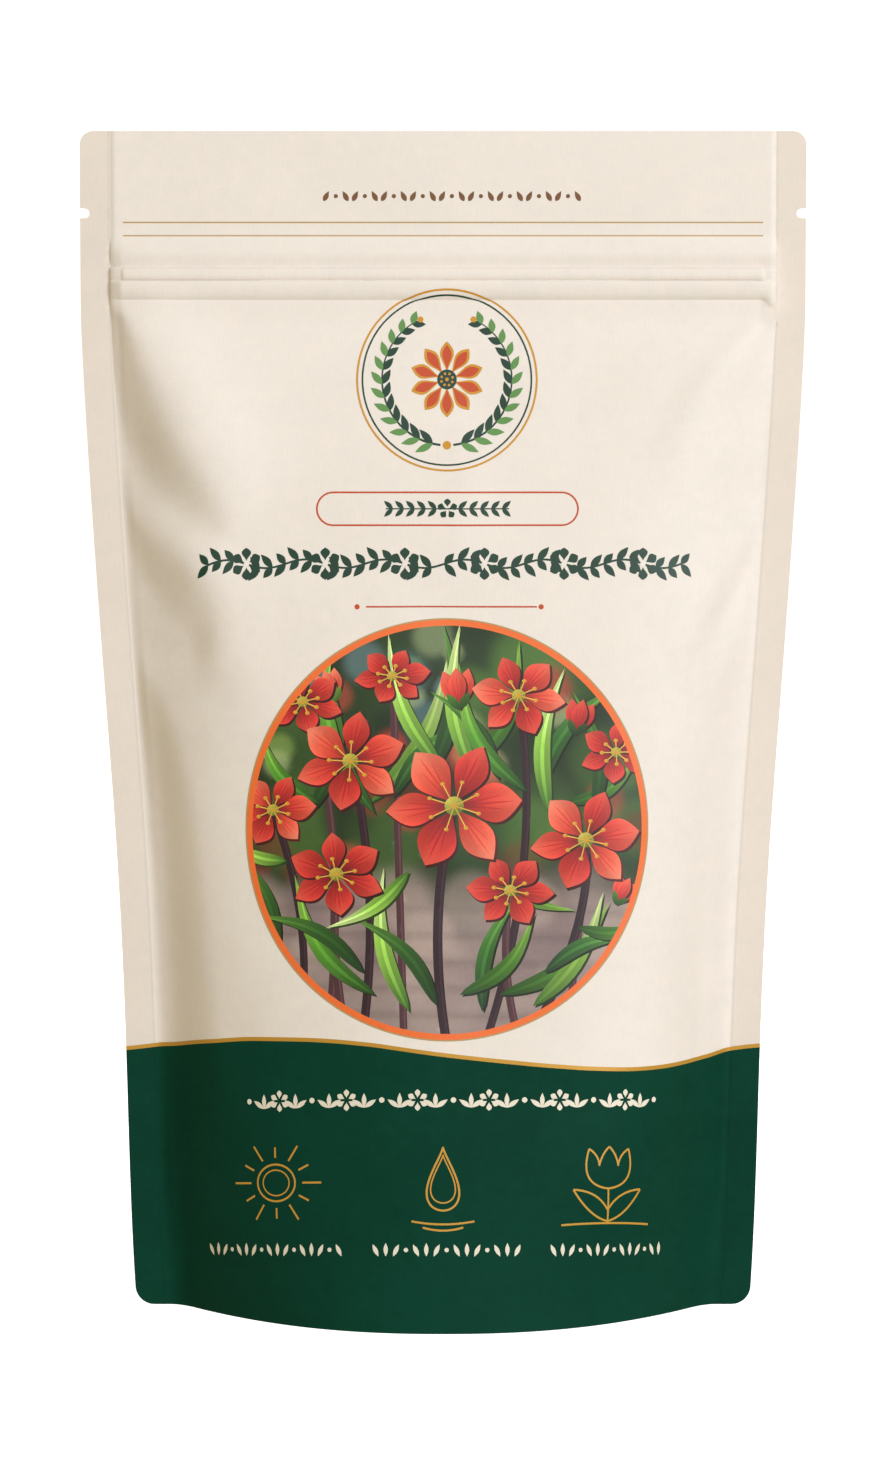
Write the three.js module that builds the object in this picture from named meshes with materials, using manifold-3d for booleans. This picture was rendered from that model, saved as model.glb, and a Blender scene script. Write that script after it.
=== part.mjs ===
// A resealable stand-up pouch for flower seeds, closed and full: a front and a back panel of
// laminate film welded together along their sides and top, a folded gusset that has opened into an
// oval base, a two-track press-to-close zip above the belly, tear notches above the zip, and a
// scoop of flat seeds lying on the gusset.
//
// Millimetres, +Z up. The pouch stands on the lower rim of its film at z = 0, its front faces -Y,
// and the origin is the middle of the base. A point of a panel is found from u, its distance along
// the film from the middle, and from its height z. "Forward" means away from the middle plane
// y = 0, towards -Y on the front panel and +Y on the back one.
import * as THREE from "three";
import { mergeVertices } from "three/addons/utils/BufferGeometryUtils.js";
import Module from "manifold-3d";

const wasm = await Module();
wasm.setup();

// Driving dimensions of the film.
const WIDTH = 130;
const HEIGHT = 213;
const FILM = 0.25;
const SIDE_SEAL = 5.4;
const TOP_CORNER_R = 2.4;
const BOTTOM_CORNER_R = 3.2;
const NOTCH = { height: 1.7, depth: 1.7, drop: 14.7 };

// The zip: two tracks that interlock, measured down from the top, on a thin flange.
const ZIP = { upper: 25.5, lower: 28.6, flangeAbove: 3.4, flangeBelow: 3.1, flange: 0.2 };
const TRACK = { half: 0.95, forward: 0.75, ramp: 0.35 };

// The belly: how far forward the film stands at the base, and how that grows from the belly's top
// down. Its cross-section is a round arch at the base and gets a flatter front and steeper sides up
// to the height where it is square.
const BELLY = { depth: 27.25, drop: 31.5, start: 0.02, fullness: -0.2 };
const SECTION = { foot: 0.941, fillet: 0.12, round: 2.3, square: 4.2, squareAt: 100 };

// The gusset: depth of the fold, height of its ridge in the middle, the seal along its edges, and
// the stretch of fold left over it at the ends, where the seal reaches highest.
const GUSSET = { depth: 33, ridge: 11, seal: 5, sealPower: 4, fold: 1.5, leafGap: 0.1 };
const GAP = 0.1;

// The seeds: flat discs with a swollen middle.
const SEED = { radius: 4.2, half: 0.65, sides: 7, clear: 0.35 };
const SCATTER = { spacing: 6.2, jitter: 1, tilt: 0.2 };
const SEED_LAYERS = [
  { rx: 33, ry: 14.5, lift: 0, shift: 0 },
  { rx: 24, ry: 10, lift: 0.85, shift: 0.5 },
];

const HALF = WIDTH / 2;
const INNER = HALF - SIDE_SEAL;
const BELLY_TOP = HEIGHT - BELLY.drop;
const UPPER_TRACK = HEIGHT - ZIP.upper;
const LOWER_TRACK = HEIGHT - ZIP.lower;
const ZIP_HALF = INNER - 2.4;

const clamp01 = (t) => Math.min(1, Math.max(0, t));
const smooth = (a, b, x) => {
  const t = clamp01((x - a) / (b - a));
  return t * t * (3 - 2 * t);
};

// Linear interpolation in a list of [key, value] pairs with rising keys.
function along(pairs, x) {
  if (x <= pairs[0][0]) return pairs[0][1];
  for (let i = 1; i < pairs.length; i++) {
    const [x0, v0] = pairs[i - 1];
    const [x1, v1] = pairs[i];
    if (x <= x1) return v0 + ((v1 - v0) * (x - x0)) / (x1 - x0);
  }
  return pairs.at(-1)[1];
}

// How far forward the middle of a panel stands at height z.
function bellyDepth(z) {
  const drop = clamp01((BELLY_TOP - z) / BELLY_TOP);
  const rise = drop / Math.sqrt(drop + BELLY.start);
  return BELLY.depth * rise * Math.sqrt(1 + BELLY.start) * (1 + BELLY.fullness * (1 - drop));
}

// The cross-section's shape: 1 in the middle, 0 at the side seals, where t is 1.
function sectionShape(t, power) {
  const g = 1 - Math.pow(Math.abs(t) / SECTION.foot, power);
  const f = SECTION.fillet;
  if (g <= -f) return 0;
  return g >= f ? g : ((g + f) * (g + f)) / (4 * f);
}

// The film between the side seals keeps its length, so the seals come closer as the belly opens.
// Returns the half distance between them and a table of [u, x] pairs.
const STEPS = 120;
function measured(chord, depth, power) {
  const pairs = [[0, 0]];
  let length = 0;
  let last = depth;
  for (let i = 1; i <= STEPS; i++) {
    const y = depth * sectionShape(i / STEPS, power);
    length += Math.hypot(chord / STEPS, y - last);
    pairs.push([length, (chord * i) / STEPS]);
    last = y;
  }
  return pairs;
}

const sections = new Map();
function section(z) {
  if (sections.has(z)) return sections.get(z);
  const depth = bellyDepth(z);
  const power = SECTION.round + (SECTION.square - SECTION.round) * smooth(0, SECTION.squareAt, z);
  let low = INNER / 2;
  let high = INNER;
  for (let i = 0; i < 40; i++) {
    const mid = (low + high) / 2;
    if (measured(mid, depth, power).at(-1)[0] > INNER) high = mid;
    else low = mid;
  }
  const found = { chord: low, depth, power, pairs: measured(low, depth, power) };
  sections.set(z, found);
  return found;
}

// The zip's flange, as [z, how far forward its inner face stands] pairs: it lies low at its edges
// and between the tracks, and rides over each of them.
const BELOW = [
  [LOWER_TRACK - ZIP.flangeBelow, 0.15],
  [LOWER_TRACK - TRACK.half - TRACK.ramp, 0.45],
];
const BETWEEN = [[(LOWER_TRACK + UPPER_TRACK) / 2, 0.2]];
const ABOVE = [
  [UPPER_TRACK + TRACK.half + TRACK.ramp, 0.45],
  [UPPER_TRACK + ZIP.flangeAbove, 0.15],
];
const onTrack = (profile, track) => profile.map(([up, forward]) => [track + up, forward]);
const flange = (profile) => [
  ...BELOW,
  ...onTrack(profile, LOWER_TRACK),
  ...BETWEEN,
  ...onTrack(profile, UPPER_TRACK),
  ...ABOVE,
];
const FLAT = [
  [-TRACK.half, TRACK.forward],
  [TRACK.half, TRACK.forward],
];
const FLANGE = flange(FLAT);

// The film over the zip, forward of the middle plane, with a run-out above and below the flange.
const RUN_OUT = 3;
const REST = 0.02;
const ZIP_RELIEF = [
  [FLANGE[0][0] - RUN_OUT, REST],
  ...FLANGE.map(([z, forward]) => [z, forward + ZIP.flange + GAP]),
  [FLANGE.at(-1)[0] + RUN_OUT, REST],
];

// Forward offset of the film's inner face on top of the belly: room for the gusset's two leaves in
// the bottom corners, and for the zip between the side seals, where it is crushed flat.
const LEAVES = GUSSET.leafGap / 2 + FILM + GAP;
function relief(u, z) {
  const leaves = REST + (LEAVES - REST) * (1 - smooth(GUSSET.depth + 1, GUSSET.depth + 9, z));
  const zip = (along(ZIP_RELIEF, z) - REST) * (1 - smooth(ZIP_HALF, INNER, Math.abs(u)));
  return leaves + zip;
}

// The x of the film at u, height z.
function filmX(u, z) {
  const { chord, pairs } = section(z);
  const a = Math.abs(u);
  return Math.sign(u) * (a < INNER ? along(pairs, a) : chord + a - INNER);
}

// A point of a panel's inner face, and the same shifted out by a distance across the film.
// side is -1 for the front panel and 1 for the back one.
function forward(u, z) {
  const { chord, depth, power } = section(z);
  return depth * sectionShape(filmX(u, z) / chord, power) + relief(u, z);
}
function panelPoint(u, z, side, out) {
  const step = 0.2;
  const dx = filmX(u + step, z) - filmX(u - step, z);
  const dy = forward(u + step, z) - forward(u - step, z);
  const l = Math.hypot(dx, dy);
  const x = filmX(u, z) - (out * dy) / l;
  return new THREE.Vector3(x, side * (forward(u, z) + (out * dx) / l), z);
}

// A closed geometry from two grids of points: the outside and the inside of a sheet. Each grid is a
// list of rows, and the sheet's four edges are closed between them.
function sheetGeometry(outside, inside) {
  const rows = outside.length;
  const columns = outside[0].length;
  const points = [...outside.flat(), ...inside.flat()];
  const at = (face, r, c) => face * rows * columns + r * columns + c;
  const index = [];
  const quad = (a, b, c, d) => index.push(a, b, c, a, c, d);
  for (let r = 0; r + 1 < rows; r++)
    for (let c = 0; c + 1 < columns; c++) {
      quad(at(0, r, c), at(0, r, c + 1), at(0, r + 1, c + 1), at(0, r + 1, c));
      quad(at(1, r, c), at(1, r + 1, c), at(1, r + 1, c + 1), at(1, r, c + 1));
    }
  for (let c = 0; c + 1 < columns; c++) {
    quad(at(0, 0, c + 1), at(0, 0, c), at(1, 0, c), at(1, 0, c + 1));
    const top = rows - 1;
    quad(at(0, top, c), at(0, top, c + 1), at(1, top, c + 1), at(1, top, c));
  }
  for (let r = 0; r + 1 < rows; r++) {
    quad(at(0, r, 0), at(0, r + 1, 0), at(1, r + 1, 0), at(1, r, 0));
    const end = columns - 1;
    quad(at(0, r + 1, end), at(0, r, end), at(1, r, end), at(1, r + 1, end));
  }
  const geometry = new THREE.BufferGeometry().setFromPoints(points);
  geometry.setIndex(index);
  return geometry;
}

// three.js geometry to a solid and back, for cutting and joining.
function solidOf(geometry) {
  const bare = new THREE.BufferGeometry().setAttribute(
    "position",
    (geometry.index ? geometry.toNonIndexed() : geometry).getAttribute("position"),
  );
  const merged = mergeVertices(bare, 1e-4);
  const solid = new wasm.Manifold(
    new wasm.Mesh({
      numProp: 3,
      vertProperties: merged.attributes.position.array,
      triVerts: new Uint32Array(merged.index.array),
    }),
  );
  return solid;
}
function geometryOf(solid) {
  const { vertProperties, triVerts } = solid.getMesh();
  const geometry = new THREE.BufferGeometry();
  geometry.setAttribute("position", new THREE.BufferAttribute(vertProperties, 3));
  geometry.setIndex(new THREE.BufferAttribute(triVerts, 1));
  geometry.computeVertexNormals();
  return geometry;
}

// A flat shape in the XZ plane, extruded through every layer of film from back to front.
function cutter(shape) {
  const reach = 4;
  const geometry = new THREE.ExtrudeGeometry(shape, { depth: 2 * reach, bevelEnabled: false });
  return solidOf(geometry.rotateX(Math.PI / 2).translate(0, reach, 0));
}

// What rounds a corner off: the corner's square less a quarter disc. sx and sz point to the corner.
function cornerCutter(x, z, sx, sz, radius) {
  const over = 2;
  const arc = 8;
  const points = [new THREE.Vector2(x + sx * over, z + sz * over)];
  points.push(new THREE.Vector2(x + sx * over, z - sz * radius));
  for (let i = 0; i <= arc; i++) {
    const a = (i / arc) * (Math.PI / 2);
    const reach = radius * Math.cos(a);
    const climb = radius * Math.sin(a);
    points.push(new THREE.Vector2(x - sx * (radius - reach), z - sz * (radius - climb)));
  }
  points.push(new THREE.Vector2(x - sx * radius, z + sz * over));
  return cutter(new THREE.Shape(sx * sz > 0 ? points.reverse() : points));
}

// The tear notch: a slot with a round end, open to the side.
function notchCutter(sx) {
  const r = NOTCH.height / 2;
  const z = HEIGHT - NOTCH.drop;
  const middle = HALF - NOTCH.depth + r;
  const points = [new THREE.Vector2(sx * (HALF + 2), z + r)];
  for (let i = 0; i <= 8; i++) {
    const a = Math.PI / 2 + (i / 8) * Math.PI;
    points.push(new THREE.Vector2(sx * (middle + r * Math.cos(a)), z + r * Math.sin(a)));
  }
  points.push(new THREE.Vector2(sx * (HALF + 2), z - r));
  return cutter(new THREE.Shape(sx < 0 ? points.reverse() : points));
}

const edgeX = filmX(HALF, 0);
const cutters = [-1, 1].flatMap((sx) => [
  cornerCutter(sx * HALF, HEIGHT, sx, 1, TOP_CORNER_R),
  cornerCutter(sx * edgeX, 0, sx, -1, BOTTOM_CORNER_R),
  notchCutter(sx),
]);
const trimmed = (solid) => cutters.reduce((left, tool) => left.subtract(tool), solid);

// The film's columns, closer together where it leaves the side seals.
const QUARTER = [9, 18, 26.5, 34, 40.5, 46, 50.5, 54, ZIP_HALF, INNER, 62.5, HALF];
const COLUMNS = [...QUARTER.map((u) => -u).reverse(), 0, ...QUARTER];
const PANEL_ROWS = [
  ...[0, 6, 12, 20, 28, 36, 44, 56, 70, 84, 98, 112, 125, 137, 148, 157, 165, 171],
  ...ZIP_RELIEF.map(([z]) => z),
  ...[202, HEIGHT],
];

function panel(side) {
  const row = (out) => (z) => COLUMNS.map((u) => panelPoint(u, z, side, out));
  const outside = PANEL_ROWS.map(row(FILM));
  const inside = PANEL_ROWS.map(row(0));
  const [a, b] = side < 0 ? [outside, inside] : [inside, outside];
  return geometryOf(trimmed(solidOf(sheetGeometry(a, b))));
}

// Height of the seal between the gusset and a panel: low in the middle, nearly the whole leaf at
// the ends.
function sealHeight(u) {
  const t = Math.min(1, Math.abs(u) / INNER);
  return GUSSET.seal + (GUSSET.depth - GUSSET.fold - GUSSET.seal) * Math.pow(t, GUSSET.sealPower);
}

// The fold line: it rises from the middle of the base to the full depth of the fold at the ends,
// and keeps its length of film.
function foldPoint(u) {
  const t = Math.min(1, Math.abs(u) / INNER);
  const rise = GUSSET.depth - GUSSET.ridge;
  const steps = 60;
  const reach = (end) => {
    let x = 0;
    for (let i = 0; i < steps; i++) {
      const slope = (2 * rise * end * (i + 0.5)) / steps / INNER;
      x += (end / steps) * Math.sqrt(1 - slope * slope);
    }
    return x;
  };
  const x = (section(GUSSET.depth).chord * reach(t)) / reach(1) + Math.max(0, Math.abs(u) - INNER);
  return { x: Math.sign(u) * x, z: GUSSET.ridge + rise * t * t };
}

// The middle of the gusset's film at u and v, where v runs from -2 at the front rim through -1 at
// the top of the front seal, 0 at the fold and 1 at the top of the back seal to 2 at the back rim.
function gussetMiddle(u, v) {
  const side = v < 0 ? -1 : 1;
  const seal = sealHeight(u);
  const inset = -(GAP + FILM / 2);
  const down = Math.abs(v);
  if (down >= 1) return panelPoint(u, seal * (2 - down), side, inset);
  const from = panelPoint(u, seal, side, inset);
  const fold = foldPoint(u);
  const x = fold.x + (from.x - fold.x) * down;
  const z = fold.z - (fold.z - seal) * down * down;
  return new THREE.Vector3(x, from.y * down, z);
}

// The gusset's middle surface shifted out by a distance across the film. Near a tight fold the
// shift turns upright, so that the two leaves' inner faces don't cross.
function gussetPoint(u, v, out) {
  const step = 0.01;
  const du = gussetMiddle(u + step, v).sub(gussetMiddle(u - step, v));
  const dv = gussetMiddle(u, Math.min(2, v + step)).sub(gussetMiddle(u, Math.max(-2, v - step)));
  const normal = du.cross(dv).normalize();
  const p = gussetMiddle(u, v);
  const most = (0.8 * Math.abs(p.y)) / (FILM / 2);
  if (Math.abs(v) === 2) normal.setZ(0);
  else if (Math.abs(normal.y) > most) normal.set(0, Math.sign(normal.y) * most, Math.sqrt(1 - most ** 2));
  return p.addScaledVector(normal.normalize(), out);
}
const LEAF_ROWS = [2, 1.5, 1, 0.9, 0.75, 0.6, 0.45, 0.3, 0.14];
const GUSSET_ROWS = [...LEAF_ROWS.map((v) => -v), 0, ...LEAF_ROWS.reverse()];
function gusset() {
  const rows = (out) => GUSSET_ROWS.map((v) => COLUMNS.map((u) => gussetPoint(u, v, out)));
  return geometryOf(trimmed(solidOf(sheetGeometry(rows(FILM / 2), rows(-FILM / 2)))));
}

// What a track carries on the flange's inner face, as [height from the track's middle, distance
// forward] pairs from its lower edge to its upper one: a rib with an arrow-shaped head, which
// crosses the middle plane, or a groove between two arms with lips that catch that head.
const mirrored = (half) => [...half.map(([up, forward]) => [-up, forward]), ...half.reverse()];
const RIB = mirrored([
  [TRACK.half, TRACK.forward],
  [0.18, TRACK.forward],
  [0.18, -0.05],
  [0.42, -0.05],
  [0.16, -0.55],
]);
const GROOVE = mirrored([
  [TRACK.half, TRACK.forward],
  [TRACK.half, -0.3],
  [0.3, -0.3],
  [0.3, -0.05],
  [0.6, -0.05],
  [0.6, TRACK.forward],
]);

// One zip strip: the flange and its tracks in the YZ plane, extruded along x.
function zipStrip(side, profile) {
  const outer = FLANGE.map(([z, forward]) => [z, forward + ZIP.flange]);
  const outline = [...outer, ...flange(profile).reverse()];
  const shape = new THREE.Shape(outline.map(([z, forward]) => new THREE.Vector2(forward, z)));
  const strip = new THREE.ExtrudeGeometry(shape, { depth: 2 * ZIP_HALF, bevelEnabled: false });
  // The shape's x is the distance forward, its y is z, and the extrusion runs along x.
  const axes = new THREE.Matrix4().makeBasis(
    new THREE.Vector3(0, side, 0),
    new THREE.Vector3(0, 0, 1),
    new THREE.Vector3(side, 0, 0),
  );
  return strip.applyMatrix4(axes).translate(-side * ZIP_HALF, 0, 0);
}

// Seeded random numbers from 0 to 1.
function randomFrom(seed) {
  let state = seed;
  return () => {
    state = (Math.imul(state, 1664525) + 1013904223) >>> 0;
    return state / 4294967296;
  };
}

// A flat seed: a rim polygon between a top and a bottom point, with one side a little flattened.
function seedGeometry(radius) {
  const points = [new THREE.Vector3(0, 0, SEED.half), new THREE.Vector3(0, 0, -SEED.half)];
  const index = [];
  for (let i = 0; i < SEED.sides; i++) {
    const a = (i / SEED.sides) * 2 * Math.PI;
    const r = radius * (1 - 0.14 * Math.max(0, Math.cos(a)) ** 2);
    points.push(new THREE.Vector3(r * Math.cos(a), r * Math.sin(a) * 0.88, 0));
    const here = 2 + i;
    const next = 2 + ((i + 1) % SEED.sides);
    index.push(0, here, next, 1, next, here);
  }
  const geometry = new THREE.BufferGeometry().setFromPoints(points);
  geometry.setIndex(index);
  return geometry;
}

// The scoop of seeds: layers of overlapping seeds laid by a rule, each let down flat on the gusset
// until it just clears it. From the middle out, each one that lies through the heap joins it.
function seeds(base) {
  const random = randomFrom(7);
  const spread = (range) => (random() - 0.5) * range;
  const below = new THREE.Raycaster();
  const up = new THREE.Vector3(0, 0, 1);
  const ground = (x, y) => {
    below.set(new THREE.Vector3(x, y, GUSSET.depth + 1), up.clone().negate());
    return below.intersectObject(base)[0].point.z;
  };
  const rowStep = SCATTER.spacing * Math.sin(Math.PI / 3);
  const reach = Math.ceil(SEED_LAYERS[0].rx / SCATTER.spacing);
  const laid = [];
  for (const { rx, ry, lift, shift } of SEED_LAYERS)
    for (let j = -reach; j <= reach; j++)
      for (let i = -reach; i <= reach; i++) {
        const x = (i + (j % 2) / 2 + shift) * SCATTER.spacing + spread(SCATTER.jitter);
        const y = (j + shift) * rowStep + spread(SCATTER.jitter);
        const spin = new THREE.Euler(spread(SCATTER.tilt), spread(SCATTER.tilt), spread(2 * Math.PI));
        const radius = SEED.radius * (1 + spread(0.16));
        if ((x / rx) ** 2 + (y / ry) ** 2 > 1) continue;
        const level = ground(x, y);
        const slope = new THREE.Vector3(level - ground(x + 1, y), level - ground(x, y + 1), 1);
        const turn = new THREE.Quaternion().setFromUnitVectors(up, slope.normalize());
        turn.multiply(new THREE.Quaternion().setFromEuler(spin));
        const seed = seedGeometry(radius).applyQuaternion(turn).translate(x, y, 0);
        const at = seed.getAttribute("position");
        let rise = -Infinity;
        for (let k = 0; k < at.count; k++)
          rise = Math.max(rise, ground(at.getX(k), at.getY(k)) + SEED.clear - at.getZ(k));
        laid.push({ away: Math.hypot(x, y), solid: solidOf(seed.translate(0, 0, rise + lift)) });
      }
  laid.sort((a, b) => a.away - b.away);
  const joins = (heap, solid) => heap.intersect(solid).getMesh().triVerts.length > 0;
  const heap = laid.reduce(
    (joined, { solid }) => (joins(joined, solid) ? joined.add(solid) : joined),
    laid[0].solid,
  );
  return geometryOf(heap);
}

const finish = (color, roughness, metalness = 0) =>
  new THREE.MeshStandardMaterial({ color, roughness, metalness, side: THREE.DoubleSide });
const FINISHES = {
  frontFilm: finish(0xeee4d6, 0.62),
  backFilm: finish(0xeee4d6, 0.62),
  gussetFilm: finish(0x123c2e, 0.6),
  zip: finish(0xf2f2ee, 0.35),
  seed: finish(0x8a5f35, 0.75),
};

const pouch = new THREE.Group();
function place(name, geometry, material) {
  const mesh = new THREE.Mesh(geometry, material);
  mesh.name = name;
  pouch.add(mesh);
  return mesh;
}

place("front_panel", panel(-1), FINISHES.frontFilm);
place("back_panel", panel(1), FINISHES.backFilm);
const base = place("bottom_gusset", gusset(), FINISHES.gussetFilm);
place("zip_rib_strip", zipStrip(-1, RIB), FINISHES.zip);
place("zip_groove_strip", zipStrip(1, GROOVE), FINISHES.zip);
place("seed_scoop", seeds(base), FINISHES.seed);

export default pouch;
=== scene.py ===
"""Dresses the stand-up seed pouch: creased laminate film, printed artwork, zip, seeds and studio.

Lengths in the classes are millimetres, and meshes are made in metres. A place on the film is given
by u, the distance along the film from the pouch's middle line, and by its height z.
"""

import logging
import math
from dataclasses import dataclass, field
from enum import Enum
from typing import Sequence, Union

import bpy
import numpy as np
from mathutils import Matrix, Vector
from mathutils.geometry import delaunay_2d_cdt

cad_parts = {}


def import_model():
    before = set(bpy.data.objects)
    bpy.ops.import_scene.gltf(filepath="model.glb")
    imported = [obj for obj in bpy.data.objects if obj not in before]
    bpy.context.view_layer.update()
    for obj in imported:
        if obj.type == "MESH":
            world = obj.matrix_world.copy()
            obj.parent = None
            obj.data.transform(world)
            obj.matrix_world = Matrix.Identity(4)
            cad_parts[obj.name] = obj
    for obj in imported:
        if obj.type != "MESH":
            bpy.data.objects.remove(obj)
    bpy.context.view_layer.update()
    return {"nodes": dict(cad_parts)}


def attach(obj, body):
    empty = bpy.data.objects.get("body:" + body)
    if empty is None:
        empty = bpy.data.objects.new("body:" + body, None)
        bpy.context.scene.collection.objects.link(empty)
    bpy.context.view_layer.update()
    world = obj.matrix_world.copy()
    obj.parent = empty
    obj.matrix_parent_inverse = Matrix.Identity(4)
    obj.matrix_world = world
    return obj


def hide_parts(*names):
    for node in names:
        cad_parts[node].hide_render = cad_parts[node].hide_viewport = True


MM = 0.001
LOG = logging.getLogger("pouch")

Array = np.ndarray
Piece = bpy.types.Object
Material = bpy.types.Material
Colour = tuple[float, float, float]
Stretch = tuple[float, float, float]
Point = tuple[float, float]
Span = tuple[float, float]
Outline = list[Point]
Operand = Union["Wire", float, Stretch]
WHITE: Colour = (1.0, 1.0, 1.0)


def srgb(red: float, green: float, blue: float) -> Colour:
    """Turn a display colour into a linear one.

    Args:
        red: Red from 0 to 255.
        green: Green from 0 to 255.
        blue: Blue from 0 to 255.

    Returns:
        The three linear parts from 0 to 1.
    """

    def part(value: float) -> float:
        """Return one linear part."""
        share = value / 255
        return share / 12.92 if share <= 0.04045 else ((share + 0.055) / 1.055) ** 2.4

    return (part(red), part(green), part(blue))


class Ink(Enum):
    """The print inks and film colours, as linear colours."""

    CREAM = srgb(240, 234, 230)
    GREEN = srgb(11, 64, 50)
    GOLD = srgb(206, 155, 60)
    FINE_GOLD = srgb(188, 156, 104)
    EMBLEM_GOLD = srgb(208, 148, 34)
    ORANGE = srgb(246, 116, 52)
    RUST = srgb(200, 72, 24)
    BROWN = srgb(122, 84, 54)
    DEEP_GREEN = srgb(14, 60, 44)
    LEAF_GREEN = srgb(96, 148, 78)
    PALE = srgb(238, 232, 218)


class Side(Enum):
    """The two panels, by the side of the middle plane that each one is on."""

    FRONT = -1
    BACK = 1


def between(places: Sequence[float], values: Sequence[float], at: Array, reach: float) -> Array:
    """Join values by straight lines, with the corners rounded.

    Args:
        places: Where the values are.
        values: The values.
        at: Where to look them up.
        reach: How far from a corner the rounding goes.

    Returns:
        The value at each place.
    """
    steps = np.linspace(-1, 1, 13)
    weights = np.exp(-((1.5 * steps) ** 2))
    lines = [np.interp(at + step * reach, places, values) for step in steps]
    return sum(w * line for w, line in zip(weights, lines)) / weights.sum()


def scaled(colour: Colour, amount: float) -> Colour:
    """Return a colour made lighter or darker by an amount."""
    return tuple(amount * part for part in colour)


def smooth(start: float, end: float, value: Array) -> Array:
    """Return the height at each value of a smooth rise from 0 to 1 between a start and an end."""
    share = np.clip((value - start) / (end - start), 0, 1)
    return share * share * (3 - 2 * share)


def unit(vectors: Array, least: float = 0.0) -> Array:
    """Return vectors scaled to a length of 1, or shorter where they are below a least length."""
    return vectors / np.maximum(np.linalg.norm(vectors, axis=-1, keepdims=True), least)


def look_up(table: Array, down: Array, along: Array) -> Array:
    """Read a table between its entries.

    Args:
        table: The table.
        down: Places from 0 at its first row to 1 at its last.
        along: Places from 0 at its first column to 1 at its last.

    Returns:
        The value at each place.
    """
    row = np.clip(down, 0, 1) * (table.shape[0] - 1)
    column = np.clip(along, 0, 1) * (table.shape[1] - 1)
    r = np.minimum(row.astype(int), table.shape[0] - 2)
    c = np.minimum(column.astype(int), table.shape[1] - 2)
    over, past = row - r, column - c
    low = table[r, c] * (1 - past) + table[r, c + 1] * past
    high = table[r + 1, c] * (1 - past) + table[r + 1, c + 1] * past
    return low * (1 - over) + high * over


# Shader sheets


@dataclass(frozen=True)
class Wire:
    """An output socket of a shader sheet, with the arithmetic that finishes are written in."""

    sheet: "Sheet"
    socket: bpy.types.NodeSocket

    def _join(self, operation: str, first: Operand, second: Operand) -> "Wire":
        """Add a Math node, or a Vector Math node where this socket carries a vector.

        Args:
            operation: The node's operation.
            first: Its first input.
            second: Its second input.

        Returns:
            The node's result.
        """
        is_vector = self.socket.type == "VECTOR"
        kind = "ShaderNodeVectorMath" if is_vector else "ShaderNodeMath"
        return self.sheet.node(kind, {"operation": operation}, {0: first, 1: second})

    def __add__(self, other: Operand) -> "Wire":
        """Return self + other."""
        return self._join("ADD", self, other)

    def __radd__(self, other: Operand) -> "Wire":
        """Return other + self."""
        return self._join("ADD", other, self)

    def __sub__(self, other: Operand) -> "Wire":
        """Return self - other."""
        return self._join("SUBTRACT", self, other)

    def __rsub__(self, other: Operand) -> "Wire":
        """Return other - self."""
        return self._join("SUBTRACT", other, self)

    def __mul__(self, other: Operand) -> "Wire":
        """Return self * other."""
        return self._join("MULTIPLY", self, other)

    def __rmul__(self, other: Operand) -> "Wire":
        """Return other * self."""
        return self._join("MULTIPLY", other, self)


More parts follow.
